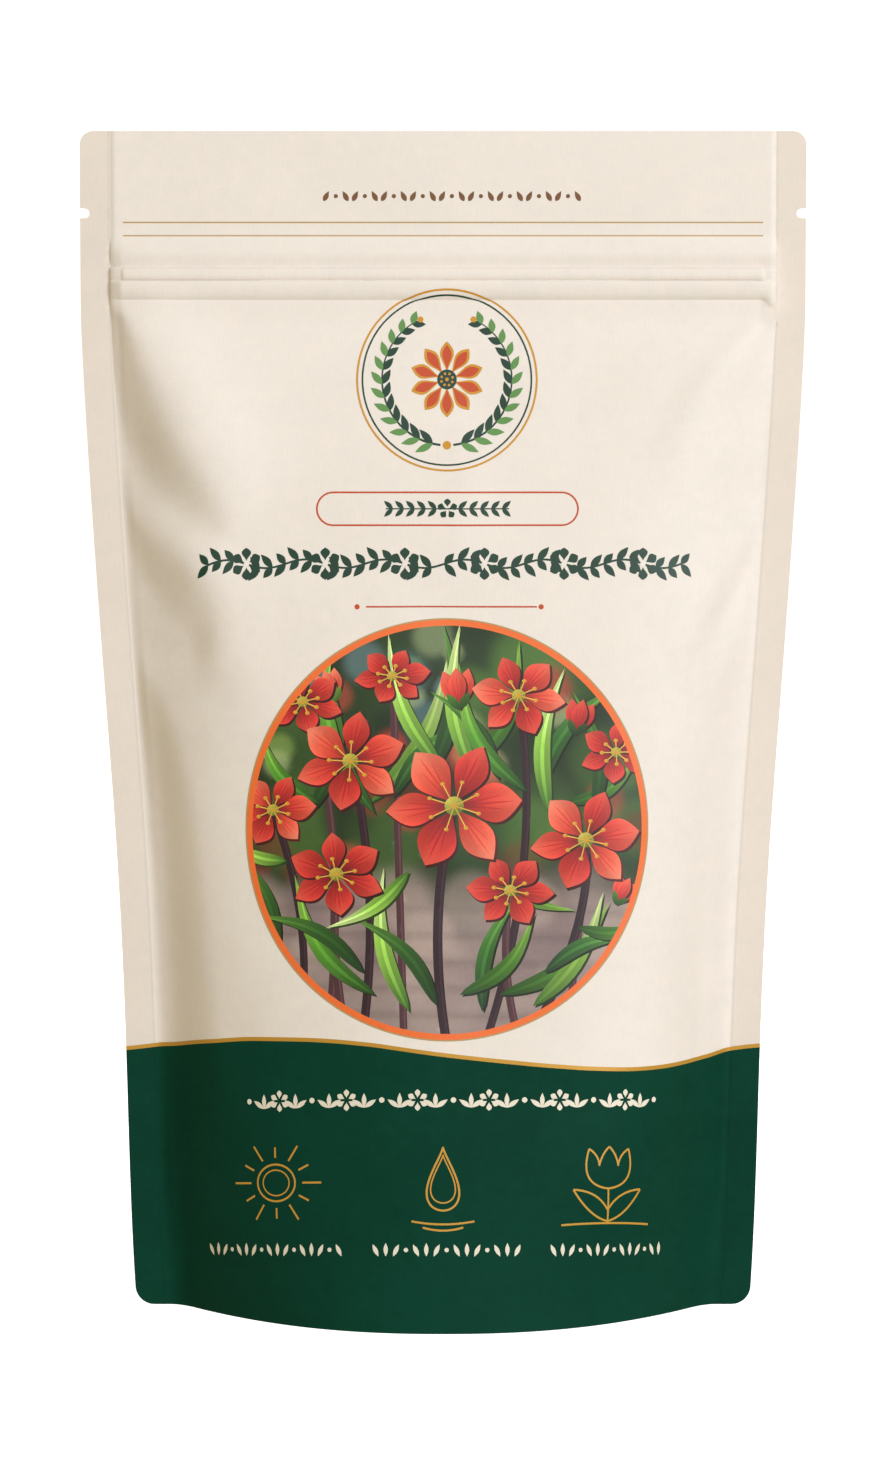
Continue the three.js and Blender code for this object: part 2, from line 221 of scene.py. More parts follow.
class Sheet:
    """The node tree of one material."""

    def __init__(self, name: str) -> None:
        """Make an empty material.

        Args:
            name: The material's name.
        """
        self.material = bpy.data.materials.new(name)
        self.material.use_nodes = True
        self.tree = self.material.node_tree
        self.tree.nodes.clear()

    def node(
        self, kind: str, settings: dict | None = None, inputs: dict | None = None, output: int | str = 0
    ) -> Wire:
        """Add any node.

        Args:
            kind: The node's type.
            settings: Its properties; "stops" holds a ramp's places and colours.
            inputs: Values or wires for its sockets, by name or number.
            output: The socket to hand back.

        Returns:
            That output socket.
        """
        made = self.tree.nodes.new(kind)
        for key, value in (settings or {}).items():
            if key == "stops":
                self._set_stops(made.color_ramp, value)
            else:
                setattr(made, key, value)
        for key, value in (inputs or {}).items():
            if isinstance(value, Wire):
                self.tree.links.new(value.socket, made.inputs[key])
            else:
                made.inputs[key].default_value = value
        return Wire(self, made.outputs[output])

    @staticmethod
    def _set_stops(ramp: bpy.types.ColorRamp, stops: Sequence[tuple[float, Colour]]) -> None:
        """Set a ramp's stops.

        Args:
            ramp: The ramp.
            stops: Places from 0 to 1 with their colours.
        """
        while len(ramp.elements) < len(stops):
            ramp.elements.new(1.0)
        for element, (place, colour) in zip(ramp.elements, stops):
            element.position = place
            element.color = (*colour, 1.0)

    def mix(
        self, share: Operand, first: Wire | Colour, second: Wire | Colour, blend: str = "MIX"
    ) -> Wire:
        """Blend two colours.

        Args:
            share: The second colour's share, from 0 to 1.
            first: The colour at 0.
            second: The colour at 1.
            blend: How the second goes over the first.

        Returns:
            The blended colour.
        """
        ends = [c if isinstance(c, Wire) else (*c, 1.0) for c in (first, second)]
        settings = {"data_type": "RGBA", "blend_type": blend}
        return self.node("ShaderNodeMix", settings, {0: share, 6: ends[0], 7: ends[1]}, 2)

    def tint(self, colour: Wire | Colour, amount: Operand) -> Wire:
        """Multiply a colour by an amount, for lighter and darker places."""
        grey = self.node("ShaderNodeCombineColor", {}, {0: amount, 1: amount, 2: amount})
        return self.mix(1.0, colour, grey, "MULTIPLY")

    def place(self) -> Wire:
        """Return the object's own coordinates."""
        return self.node("ShaderNodeTexCoord", output="Object")

    def on_film(self) -> Wire:
        """Return the place on the film: u, z and the side, in millimetres."""
        settings = {"attribute_type": "GEOMETRY", "attribute_name": "film_place"}
        return self.node("ShaderNodeAttribute", settings, output="Vector")

    def beside(self, at: Wire) -> Wire:
        """Return how far coordinates lie to either side of the middle."""
        parts = self.node("ShaderNodeSeparateXYZ", {}, {0: at}, 0)
        return self.node("ShaderNodeMath", {"operation": "ABSOLUTE"}, {0: parts})

    def noise(self, at: Wire, stretch: float | Stretch, detail: float) -> Wire:
        """Add a noise.

        Args:
            at: The coordinates.
            stretch: How many times it repeats along all of them, or along each.
            detail: Its detail.

        Returns:
            The noise, about 0.5 on average.
        """
        spot = at * (stretch if isinstance(stretch, tuple) else (stretch,) * 3)
        values = {"Vector": spot, "Scale": 1.0, "Detail": detail, "Roughness": 0.55}
        return self.node("ShaderNodeTexNoise", {"noise_dimensions": "3D"}, values)

    def bump(self, height: Wire, depth: float, strength: float) -> Wire:
        """Return a normal bumped by a height, where a height of 1 is as deep as depth in metres."""
        values = {"Strength": strength, "Distance": depth, "Height": height}
        return self.node("ShaderNodeBump", {}, values)

    def finish(self, **inputs: Wire | float | Colour) -> Material:
        """Close the sheet with one surface shader.

        Args:
            **inputs: Its sockets' values, named with _ for each space.

        Returns:
            The material.
        """
        values = {}
        for name, value in inputs.items():
            is_colour = isinstance(value, tuple)
            values[name.replace("_", " ")] = (*value, 1.0) if is_colour else value
        shader = self.node("ShaderNodeBsdfPrincipled", {}, values)
        end = self.tree.nodes.new("ShaderNodeOutputMaterial")
        self.tree.links.new(shader.socket, end.inputs["Surface"])
        return self.material


# Finishes


@dataclass(frozen=True)
class FilmFinish:
    """Matte laminate with a linen grain: fine threads both ways, and faint warm and cool blotches.

    Beyond the seal's inner edge the two pressed layers have a deeper tone; a thin line of painted shade
    runs along that edge.
    """

    name: str
    colour: Colour
    thread: float = 0.035
    blotch: float = 0.045
    warmth: float = 0.4
    roughness: float = 0.58
    shine: float = 0.22
    seal_tone: Colour = (0.945, 0.92, 0.895)
    seal_edge: Span = (59.45, 60.25)
    seal_stops: tuple[float, float, float, float] = (0.1, 0.3, 0.55, 0.9)
    # The middle two stops hold a thin line of painted shade along the seal's inner edge.
    seal_edge_shade: float = 0.93
    # How dark the painted shade line at the seal's inner edge is.
    warm_tone: Colour = (1.015, 0.985, 0.96)
    across: Stretch = (0.5, 4.2, 1.0)
    upright: Stretch = (4.6, 0.35, 1.0)
    grain: Stretch = (2.6, 2.6, 1.0)
    cloud: Stretch = (0.05, 0.05, 1.0)
    patch: Stretch = (0.17, 0.2, 1.0)
    mottle: Stretch = (0.42, 0.46, 1.0)
    thread_height: float = 0.00004

    def make(self) -> Material:
        """Make the film's material.

        Returns:
            The material.
        """
        sheet = Sheet(self.name)
        film = sheet.on_film()
        across = sheet.noise(film, self.across, 2.0)
        upright = sheet.noise(film, self.upright, 2.0)
        grain = sheet.noise(film, self.grain, 1.0)
        cloud = sheet.noise(film, self.cloud, 3.0)
        patch = sheet.noise(film, self.patch, 2.0)
        threads = across * 0.35 + upright * 0.65
        light = 1.0 + (threads - 0.5) * self.thread * 4 + (cloud - 0.5) * self.blotch * 2
        light = light + (grain - 0.5) * self.thread + (patch - 0.5) * self.blotch
        mottle = sheet.noise(film, self.mottle, 1.0)
        light = light + (mottle - 0.5) * self.blotch * 1.2
        warm = tuple(c * t for c, t in zip(self.colour, self.warm_tone))
        share = 0.3 + (mottle + patch - 1.0) * self.warmth * 2
        share = sheet.node("ShaderNodeClamp", {}, {0: share})
        base = sheet.mix(share, self.colour, warm)
        edges = {0: sheet.beside(film), 1: self.seal_edge[0], 2: self.seal_edge[1]}
        crossed = sheet.node("ShaderNodeMapRange", {}, edges)
        # line is a thin band of painted shade along the seal's inner edge, standing in for the shade of
        # its step.
        line = scaled(self.seal_tone, self.seal_edge_shade)
        stops = list(zip(self.seal_stops, (WHITE, line, line, self.seal_tone)))
        tone = sheet.node("ShaderNodeValToRGB", {"stops": stops}, {0: crossed})
        base = sheet.mix(1.0, base, tone, "MULTIPLY")
        rough = self.roughness + (cloud - 0.5) * 0.12 + (threads - 0.5) * 0.1
        normal = sheet.bump(threads + grain * 0.4, self.thread_height, 0.5)
        return sheet.finish(
            Base_Color=sheet.tint(base, light),
            Roughness=rough,
            Normal=normal,
            Specular_IOR_Level=self.shine,
        )


@dataclass(frozen=True)
class InkFinish:
    """A printed ink or foil: one colour, with the paper-like grain showing through."""

    name: str
    colour: Colour
    roughness: float = 0.5
    metallic: float = 0.0
    scale: float = 2200.0
    depth: float = 0.00002

    def make(self) -> Material:
        """Make the ink's material.

        Returns:
            The material.
        """
        sheet = Sheet(self.name)
        grain = sheet.noise(sheet.place(), self.scale, 1.0)
        return sheet.finish(
            Base_Color=sheet.tint(self.colour, 0.93 + grain * 0.14),
            Normal=sheet.bump(grain, self.depth, 0.3),
            Roughness=self.roughness + (grain - 0.5) * 0.1,
            Metallic=self.metallic,
        )


@dataclass(frozen=True)
class PictureFinish:
    """Printed colours held by the mesh, with a little print grain."""

    name: str
    roughness: float = 0.5
    scale: float = 1500.0
    depth: float = 0.00002

    def make(self) -> Material:
        """Make the picture's material.

        Returns:
            The material.
        """
        sheet = Sheet(self.name)
        settings = {"attribute_type": "GEOMETRY", "attribute_name": "ink"}
        ink = sheet.node("ShaderNodeAttribute", settings, output="Color")
        grain = sheet.noise(sheet.place(), self.scale, 2.0)
        return sheet.finish(
            Base_Color=sheet.tint(ink, 0.9 + grain * 0.2),
            Roughness=self.roughness,
            Normal=sheet.bump(grain, self.depth, 0.3),
        )


@dataclass(frozen=True)
class PlainFinish:
    """A plain plastic or paper surface with a fine uneven grain."""

    name: str
    colour: Colour
    roughness: float = 0.5
    scale: float = 900.0
    depth: float = 0.00003
    variation: float = 0.06

    def make(self) -> Material:
        """Make the surface's material.

        Returns:
            The material.
        """
        sheet = Sheet(self.name)
        grain = sheet.noise(sheet.place(), self.scale, 2.0)
        return sheet.finish(
            Base_Color=sheet.tint(self.colour, 1.0 + (grain - 0.5) * self.variation * 2),
            Roughness=self.roughness + (grain - 0.5) * 0.15,
            Normal=sheet.bump(grain, self.depth, 0.4),
        )


@dataclass(frozen=True)
class SeedFinish:
    """A dry papery seed coat: tan wings round a dark brown kernel, with fine wrinkles."""

    name: str = "seed_coat"
    dark: Colour = srgb(92, 56, 30)
    light: Colour = srgb(172, 124, 74)
    patches: float = 260.0
    wrinkles: Stretch = (1400.0, 1400.0, 900.0)
    depth: float = 0.00012

    def make(self) -> Material:
        """Make the seeds' material.

        Returns:
            The material.
        """
        sheet = Sheet(self.name)
        place = sheet.place()
        patches = sheet.noise(place, self.patches, 3.0)
        wrinkle = sheet.noise(place, self.wrinkles, 3.0)
        stops = [(0.36, self.dark), (0.62, self.light)]
        colour = sheet.node("ShaderNodeValToRGB", {"stops": stops}, {0: patches})
        return sheet.finish(
            Base_Color=sheet.tint(colour, 0.8 + wrinkle * 0.4),
            Roughness=0.62 + wrinkle * 0.2,
            Normal=sheet.bump(wrinkle, self.depth, 0.6),
        )


def green_film(name: str) -> Material:
    """Return the film's dark green material."""
    return FilmFinish(name, Ink.GREEN.value, 0.07, 0.16, 0.0, 0.62, 0.05, WHITE).make()


def cut_edge(name: str) -> Material:
    """Return the pale material of the film's cut edges."""
    return PlainFinish(name, srgb(214, 206, 192), 0.6).make()


# The film's shape


@dataclass(frozen=True)
class Fold:
    """A slope in the film along a line: it climbs to the left of the line's direction, seen with
    u to the right and z up, and what it has climbed fades away beyond.

    Each knot of the line has its u, its z, the height that the slope climbs and its width.
    """

    knots: tuple[tuple[float, float, float, float], ...]
    fade: float = 16.0
    rounds: int = 2
    cut: float = 0.25

    def smoothed(self) -> Array:
        """Cut the corners off the line, so that it bends smoothly.

        Returns:
            Its knots.
        """
        knots = np.array(self.knots)
        for _ in range(self.rounds):
            early = knots[:-1] * (1 - self.cut) + knots[1:] * self.cut
            late = knots[:-1] * self.cut + knots[1:] * (1 - self.cut)
            bends = np.stack([early, late], 1).reshape(-1, knots.shape[1])
            knots = np.concatenate([knots[:1], bends, knots[-1:]])
        return knots

    def lift(self, u: Array, z: Array) -> Array:
        """Work out how far the fold lifts the film.

        Args:
            u: Places along the film.
            z: Heights.

        Returns:
            The lift at each place.
        """
        knots = self.smoothed()
        nearest = np.full(u.shape, np.inf)
        away = np.zeros(u.shape)
        height = np.zeros(u.shape)
        width = np.ones(u.shape)
        for a, b in zip(knots[:-1], knots[1:]):
            du, dz = b[:2] - a[:2]
            length = math.hypot(du, dz)
            share = np.clip(((u - a[0]) * du + (z - a[1]) * dz) / length**2, 0, 1)
            off_u = u - a[0] - share * du
            off_z = z - a[1] - share * dz
            distance = np.hypot(off_u, off_z)
            closer = distance < nearest
            nearest = np.where(closer, distance, nearest)
            side = np.sign(du * off_z - dz * off_u)
            away = np.where(closer, side * distance, away)
            height = np.where(closer, a[2] + share * (b[2] - a[2]), height)
            width = np.where(closer, a[3] + share * (b[3] - a[3]), width)
        climb = smooth(-0.5, 0.5, away / width)
        beyond = np.maximum(away - width / 2, 0) / self.fade
        return height * climb * np.exp(-(beyond**2))


@dataclass(frozen=True)
class Flank:
    """How the filling presses one half of a panel out: its slope beside the seal at some heights.

    The fillet is how softly it leaves the seal, sharpness how quickly the slope turns level, and
    crown rounds the middle. The reach is how far the slope takes to change.
    """

    heights: tuple[float, ...] = (50.0, 85.0, 125.0, 170.0)
    slopes: tuple[float, ...] = (1.25, 1.15, 0.85, 0.45)
    fillet: float = 0.2
    sharpness: float = 2.2
    crown: float = 0.25
    reach: float = 18.0

    def fullness(self, share: Array, z: Array, span: Array) -> Array:
        """Work out how full the film is.

        Args:
            share: Places from 0 in the middle to 1 at the seal.
            z: Their heights.
            span: The half panel's width over the belly's depth.

        Returns:
            The fullness, from 0 at the seal to 1 in the middle.
        """
        steep = between(self.heights, self.slopes, z, self.reach) * span
        most_inward = math.hypot(1, self.crown) - self.crown
        inward = (math.hypot(1, self.crown) - np.hypot(share, self.crown)) / most_inward
        inward = np.maximum(inward, 0)
        climb = np.hypot(steep * inward, self.fillet) - self.fillet
        most = np.hypot(steep, self.fillet) - self.fillet
        sharp = self.sharpness
        full = climb / (1 + climb**sharp) ** (1 / sharp)
        return full * (1 + most**sharp) ** (1 / sharp) / most


@dataclass(frozen=True)
class Dents:
    """Shallow dents and swellings that handling leaves in the film."""

    seed: int
    count: int = 110
    depth: float = 0.34
    radii: Span = (2.5, 6.0)
    longest: float = 2.6
    low: float = 38.0
    high: float = 177.0
    ends: Span = (4.0, 6.0)
    reach: float = 57.0

    def lift(self, u: Array, z: Array) -> Array:
        """Work out how far they lift the film.

        Args:
            u: Places along the film.
            z: Heights.

        Returns:
            The lift at each place.
        """
        rng = np.random.default_rng(self.seed)
        total = np.zeros(u.shape)
        for _ in range(self.count):
            at_u, at_z = rng.uniform(-self.reach, self.reach), rng.uniform(self.low, self.high)
            radius = rng.uniform(*self.radii)
            depth = rng.uniform(-1, 1) * self.depth * radius / self.radii[1]
            angle = rng.uniform(0, math.pi)
            long = radius * rng.uniform(1, self.longest)
            along = (u - at_u) * math.cos(angle) + (z - at_z) * math.sin(angle)
            across = (z - at_z) * math.cos(angle) - (u - at_u) * math.sin(angle)
            total = total + depth * np.exp(-((along / long) ** 2) - (across / radius) ** 2)
        below, above = self.ends
        inside = smooth(self.low - below, self.low + below, z)
        return total * (inside * (1 - smooth(self.high - above, self.high, z)))


@dataclass(frozen=True)
class Track:
    """One of the zip's two tracks: the height of its lower edge, its width and how far it stands
    out. Its top leans, and then falls: the fullness is how far down it stays level.
    """

    foot: float
    width: float
    rise: float
    lean: float
    fullness: float
    brow: Span = (0.2, 0.35)

    @property
    def top(self) -> float:
        """Return the height of its upper edge."""
        return self.foot + self.width

    def lift(self, z: Array) -> Array:
        """Work out how far it lifts the film.

        Args:
            z: Heights.

        Returns:
            The lift at each height.
        """
        down = np.clip((self.top - z) / self.width, 0, 1)
        brow = smooth(self.top + self.brow[0], self.top - self.brow[1], z)
        level = self.rise - self.lean * (1 - down)
        return level * (1 - down**self.fullness) * brow


@dataclass(frozen=True)
class Zip:
    """The zip as it shows through the film: a flange, two raised tracks and three thin grooves.

    Each groove has its height and its depth. The film sinks into the corner above the tracks and
    falls away below them. At each end the tracks are pressed flatter, and the upper one has a tab.
    """

    upper: Track = Track(186.45, 2.2, 0.7, 0.42, 4.5)
    lower: Track = Track(183.1, 3.15, 0.95, 0.3, 2.6)
    flange: float = 0.75
    flange_span: tuple[float, float, float] = (178.0, 190.6, 194.6)
    flange_end: float = 7.0
    grooves: tuple[Span, ...] = ((188.85, 0.04), (186.45, 0.08), (183.05, 0.04))
    groove_half: float = 0.2
    groove_end: float = 0.4
    groove_middle: float = 0.35
    groove_rise: Span = (18.0, 54.0)
    corner: float = 0.7
    corner_reach: float = 1.5
    corner_brow: float = 0.4
    foot: float = 0.7
    foot_reach: float = 1.5
    tab: float = 2.3
    tab_step: float = 0.3
    upper_press: float = 0.75
    lower_press: float = 0.6
    lower_end: float = 0.2
    tick_depth: float = 0.1
    tick_half: float = 0.16
    tick_span: Span = (0.1, 0.2)

    def lift(self, u: Array, z: Array, half: float) -> Array:
        """Work out how far the zip lifts the film.

        Args:
            u: Places along the film.
            z: Heights.
            half: Half the zip's length.

        Returns:
            The lift at each place.
        """
        top = self.upper.top
        low, high, end = self.flange_span
        tab = half - self.tab
        wide = smooth(low, self.lower.foot, z) * (1 - smooth(high, end, z))
        sink = np.exp(-np.maximum(z - top, 0) / self.corner_reach)
        sink = sink * smooth(top - self.corner_brow, top, z)
        falls = np.exp(-np.maximum(self.lower.foot - z, 0) / self.foot_reach)
        falls = falls * (1 - smooth(high, end, z))
        upper = 1 - self.upper_press * smooth(tab, tab + self.tab_step, np.abs(u))
        lower = 1 - self.lower_press * smooth(tab, half - self.lower_end, -u)
        wide = wide * (1 - self.lower_press * smooth(half - self.flange_end, half, -u))
        tracks = self.upper.lift(z) * upper + self.lower.lift(z) * lower
        return self.flange * wide + self.foot * falls * lower + tracks - self.corner * sink

    def emboss(self, u: Array, z: Array, half: float) -> Array:
        """Work out how deep the pressed lines are: three along the tracks, one across each end.

        Args:
            u: Places along the film.
            z: Heights.
            half: Half the zip's length.

        Returns:
            The depth at each place.
        """
        a = np.abs(u)
        deep = np.zeros(u.shape)
        for level, depth in self.grooves:
            deep = deep + depth * np.exp(-(((z - level) / self.groove_half) ** 2))
        ends = np.exp(-(((a - half + self.tab) / self.tick_half) ** 2))
        below, above = self.tick_span
        span = smooth(self.upper.foot - below, self.upper.foot + above, z)
        span = span * (z < self.upper.top)
        inside = 1 - smooth(half - self.tab, half - self.groove_end, a)
        middle = self.groove_middle
        inside = inside * (middle + (1 - middle) * smooth(*self.groove_rise, a))
        return np.maximum(deep * inside, self.tick_depth * ends * span)


@dataclass
class PouchForm:
    """The closed pouch's form: belly, seals, zip, gusset and folds."""

    width: float = 130.0
    height: float = 213.0
    thickness: float = 0.25
    side_seal: float = 5.4
    top_corner: float = 2.4
    bottom_corner: float = 3.2
    notch_height: float = 1.7
    notch_depth: float = 1.7
    notch_drop: float = 14.7
    belly_depth: float = 27.25
    belly_drop: float = 30.1
    belly_start: float = 0.07
    belly_fullness: float = -0.16
    section_foot: float = 0.941
    section_fillet: float = 0.12
    section_powers: Span = (2.3, 4.2)
    section_square_at: float = 100.0
    gusset_depth: float = 33.0
    gusset_ridge: float = 11.0
    gusset_seal: float = 5.0
    gusset_power: float = 4.0
    gusset_fold: float = 1.5
    leaf_gap: float = 0.1
    leaf_fade: Span = (1.0, 9.0)
    gap: float = 0.1
    rest: float = 0.02
    weld_step: float = 0.3
    weld_reach: float = 0.9
    weld_rise: Span = (162.0, 176.0)
    zip: Zip = Zip()
    zip_end_drop: float = 1.9
    zip_end_reach: Span = (0.7, 0.4)
    zip_end_brow: float = 0.6
    crushed: Span = (0.3, 0.1)
    pressed: Span = (2.0, 30.0)
    row_bend: float = 0.112
    row_bend_change: float = 0.00065
    row_bend_level: float = 105.0
    crease_rounds: int = 8
    crease_end: Span = (2.6, 0.1)
    rim_height: float = 1.5
    flanks: dict[Side, tuple[Flank, Flank]] = field(default_factory=dict)
    folds: dict[Side, tuple[Fold, ...]] = field(default_factory=dict)
    dents: dict[Side, Dents] = field(default_factory=dict)
    table_rows: int = 427
    table_columns: int = 241
    chord_rounds: int = 40

    def __post_init__(self) -> None:
        """Work out the tables that carry a place on the film to a place in the section."""
        self.half = self.width / 2
        self.inner = self.half - self.side_seal
        self.belly_top = self.height - self.belly_drop
        self.zip_half = self.inner - self.zip.tab
        before, beyond = self.zip_end_reach
        self.zip_end = (self.zip_half - before, self.inner + beyond)
        brow = self.zip_end_brow
        self.zip_level = (self.zip.lower.foot - brow, self.zip.upper.foot + brow)
        rows = np.linspace(0, self.height, self.table_rows)
        share = np.linspace(0, 1, self.table_columns)
        shape = self.section(share[None, :], self.power(rows)[:, None])
        rise = np.diff(shape, axis=1) * self.depth(rows)[:, None]
        step = np.diff(share)[None, :]
        low = np.full(rows.shape, self.inner / 2)
        high = np.full(rows.shape, self.inner)
        for _ in range(self.chord_rounds):
            middle = (low + high) / 2
            is_long = np.hypot(middle[:, None] * step, rise).sum(1) > self.inner
            low = np.where(is_long, low, middle)
            high = np.where(is_long, middle, high)
        self.chords = low
        steps = np.hypot(low[:, None] * step, rise)
        lengths = np.concatenate([np.zeros((rows.size, 1)), np.cumsum(steps, 1)], 1)
        places = np.linspace(0, self.inner, self.table_columns)
        self.table = np.array(
            [np.interp(places, line, share * chord) for line, chord in zip(lengths, low)]
        )
        self.creases = {side: self.crease_table(side) for side in Side}

    def depth(self, z: Array) -> Array:
        """Work out how far forward the middle of a panel stands.

        Args:
            z: Heights.

        Returns:
            The belly's depth at each height.
        """
        drop = np.clip((self.belly_top - z) / self.belly_top, 0, 1)
        rise = drop / np.sqrt(drop + self.belly_start) * math.sqrt(1 + self.belly_start)
        return self.belly_depth * rise * (1 + self.belly_fullness * (1 - drop))

    def power(self, z: Array) -> Array:
        """Return the power of the section's arch at each height."""
        low, high = self.section_powers
        return low + (high - low) * smooth(0, self.section_square_at, z)

    def section(self, share: Array, power: Array) -> Array:
        """Work out the section's shape.

        Args:
            share: Places from 0 in the middle to 1 at the seals.
            power: The power of the arch at each place.

        Returns:
            How far each place stands out, from 0 at the seals to 1 in the middle.
        """
        fillet = self.section_fillet
        arch = 1 - (np.abs(share) / self.section_foot) ** power
        blend = (arch + fillet) ** 2 / (4 * fillet)
        return np.where(arch <= -fillet, 0, np.where(arch >= fillet, arch, blend))

    def fullness(self, u: Array, z: Array, side: Side) -> Array:
        """Work out how full a panel is.

        Near the foot the gusset keeps the section's own arch. Above it the filling presses it out.

        Args:
            u: Places along the film.
            z: Heights.
            side: Which panel.

        Returns:
            The fullness at each place, from 0 at the seals to 1 in the middle.
        """
        chord = self.chord(z)
        share = self.across(u, z) / chord
        span = chord / np.maximum(self.depth(z), 1)
        left, right = (flank.fullness(np.abs(share), z, span) for flank in self.flanks[side])
        part = smooth(*self.pressed, z)
        arch = self.section(share, self.power(z))
        return arch * (1 - part) + np.where(share < 0, left, right) * part

    def crease_table(self, side: Side) -> Array:
        """Work out how far a panel's folds and dents lift the film, slightly smoothed.

        Args:
            side: Which panel.

        Returns:
            A table with a row for each height and a column for each place along the film.
        """
        levels = np.linspace(0, self.height, self.table_rows)
        places = np.linspace(-self.half, self.half, 2 * self.table_columns - 1)
        z, u = np.meshgrid(levels, places, indexing="ij")
        total = sum((fold.lift(u, z) for fold in self.folds[side]), np.zeros(u.shape))
        for _ in range(self.crease_rounds):
            for axis in (0, 1):
                total = (np.roll(total, 1, axis) + 2 * total + np.roll(total, -1, axis)) / 4
        total = total + self.dents[side].lift(u, z)
        start, end = self.crease_end
        return total * (1 - smooth(self.inner - start, self.inner - end, np.abs(u)))

    def chord(self, z: Array) -> Array:
        """Return half the distance between the seals at each height."""
        return np.interp(z, np.linspace(0, self.height, self.table_rows), self.chords)

    def across(self, u: Array, z: Array) -> Array:
        """Return how far to the side each place on the film lies."""
        x = look_up(self.table, z / self.height, np.abs(u) / self.inner)
        return np.sign(u) * (x + np.maximum(0, np.abs(u) - self.inner))

    def relief(self, u: Array, z: Array) -> Array:
        """Work out what lifts the film besides the belly: gusset leaves, weld steps and zip.

        Args:
            u: Places along the film.
            z: Heights.

        Returns:
            The lift at each place.
        """
        a = np.abs(u)
        leaves = self.leaf_gap / 2 + self.thickness + self.gap
        start, end = self.leaf_fade
        fade = smooth(self.gusset_depth + start, self.gusset_depth + end, z)
        low = self.rest + (leaves - self.rest) * (1 - fade)
        inside = 1 - smooth(self.inner - self.weld_reach, self.inner, a)
        low = low + self.weld_step * inside * smooth(*self.weld_rise, z)
        before, beyond = self.crushed
        crushed = 1 - smooth(self.inner - before, self.inner + beyond, a)
        return low + self.zip.lift(u, z + self.sunk(u, z), self.inner) * crushed

    def sunk(self, u: Array, z: Array) -> Array:
        """Return how far the zip's lower track bends down at its right end."""
        drop = self.zip_end_drop * smooth(*self.zip_end, u)
        return drop * (1 - smooth(*self.zip_level, z))

    def level(self, u: Array, z: Array, side: Side) -> Array:
        """Return print heights bent down towards the sides, as the film's printed rows run."""
        back = self.depth(z) * (1 - self.fullness(u, z, side))
        return z - back * (self.row_bend + (self.row_bend_level - z) * self.row_bend_change)

    def crease(self, u: Array, z: Array, side: Side) -> Array:
        """Return how far a panel's folds and dents lift the film."""
        return look_up(self.creases[side], z / self.height, (u + self.half) / self.width)

    def forward(self, u: Array, z: Array, side: Side) -> Array:
        """Return how far a panel's inner face stands out from the middle plane."""
        belly = self.depth(z) * self.fullness(u, z, side)
        return belly + self.relief(u, z) + self.crease(u, z, side)

    def inside(self, u: Array, z: Array, side: Side) -> Array:
        """Return points of a panel's inner face."""
        return np.stack([self.across(u, z), side.value * self.forward(u, z, side), z], -1)

    def panel(self, u: Array, z: Array, side: Side, out: float) -> Array:
        """Find points of a panel's film.

        Args:
            u: Places along the film.
            z: Heights.
            side: Which panel.
            out: How far the points lie out from the inner face.

        Returns:
            The points, with x, y and z along the last axis.
        """
        step = 0.15
        along = self.inside(u + step, z, side) - self.inside(u - step, z, side)
        up = self.inside(u, z + step, side) - self.inside(u, z - step, side)
        normal = unit(np.cross(along, up) * -side.value)
        edge = smooth(0, self.rim_height, z)[..., None]
        flat = unit(normal * [1, 1, 0])
        away = np.full(u.shape, out)
        if out > 0:
            away = away - self.zip.emboss(u, z + self.sunk(u, z), self.inner)
        away = away[..., None]
        return self.inside(u, z, side) + away * (flat * (1 - edge) + normal * edge)


# Meshes


@dataclass
class Body:
    """Gathers a mesh's points, faces and finishes, and makes the object."""

    name: str
    points: list[Array] = field(default_factory=list)
    faces: list[Array] = field(default_factory=list)
    slots: list[Array] = field(default_factory=list)
    count: int = 0
    sharp_angle: float = 50.0

    def add(self, points: Array, faces: Array, slots: Array) -> None:
        """Add points and faces.

        Args:
            points: Points in millimetres.
            faces: The faces' corners, counted from this call's first point.
            slots: The number of each face's finish.
        """
        self.points.append(points)
        self.faces.append(faces + self.count)
        self.slots.append(slots)
        self.count += len(points)

    def make(self, finishes: Sequence[Material]) -> Piece:
        """Make the object.

        Args:
            finishes: The materials, in the order that the faces' numbers mean.

        Returns:
            The object, in metres.
        """
        points = np.concatenate(self.points) * MM
        faces = [tuple(int(i) for i in face) for group in self.faces for face in group]
        mesh = bpy.data.meshes.new(self.name)
        mesh.from_pydata(points.tolist(), [], faces)
        for finish in finishes:
            mesh.materials.append(finish)
        mesh.polygons.foreach_set("material_index", np.concatenate(self.slots).astype(np.int32))
        mesh.polygons.foreach_set("use_smooth", np.ones(len(faces), bool))
        mesh.set_sharp_from_angle(angle=math.radians(self.sharp_angle))
        mesh.update()
        piece = bpy.data.objects.new(self.name, mesh)
        bpy.context.scene.collection.objects.link(piece)
        return piece


def two_skins(
    name: str,
    skins: tuple[Array, Array],
    slots: Array,
    film: tuple[Array, Array, Array],
    is_turned: bool,
    finishes: Sequence[Material],
) -> Piece:
    """Make a closed sheet of film from two grids of points.

    Args:
        name: Its name.
        skins: The grids, the first of them outside.
        slots: The number of the finish of each skin face and rim face.
        film: The u, height and side that its grain follows, at each grid point.
        is_turned: Whether the faces' corners run the other way round.
        finishes: The materials, in the order that the faces' numbers mean.

    Returns:
        The sheet.
    """
    faces = np.concatenate(sheet_faces(*film[0].shape))
    body = Body(name)
    points = np.concatenate([skin.reshape(-1, 3) for skin in skins])
    body.add(points, faces[:, ::-1] if is_turned else faces, slots)
    piece = body.make(finishes)
    flat = np.stack(film, -1).reshape(-1, 3)
    vectors = np.concatenate([flat, flat]).astype(np.float32)
    places = piece.data.attributes.new("film_place", "FLOAT_VECTOR", "POINT")
    places.data.foreach_set("vector", vectors.ravel())
    return piece


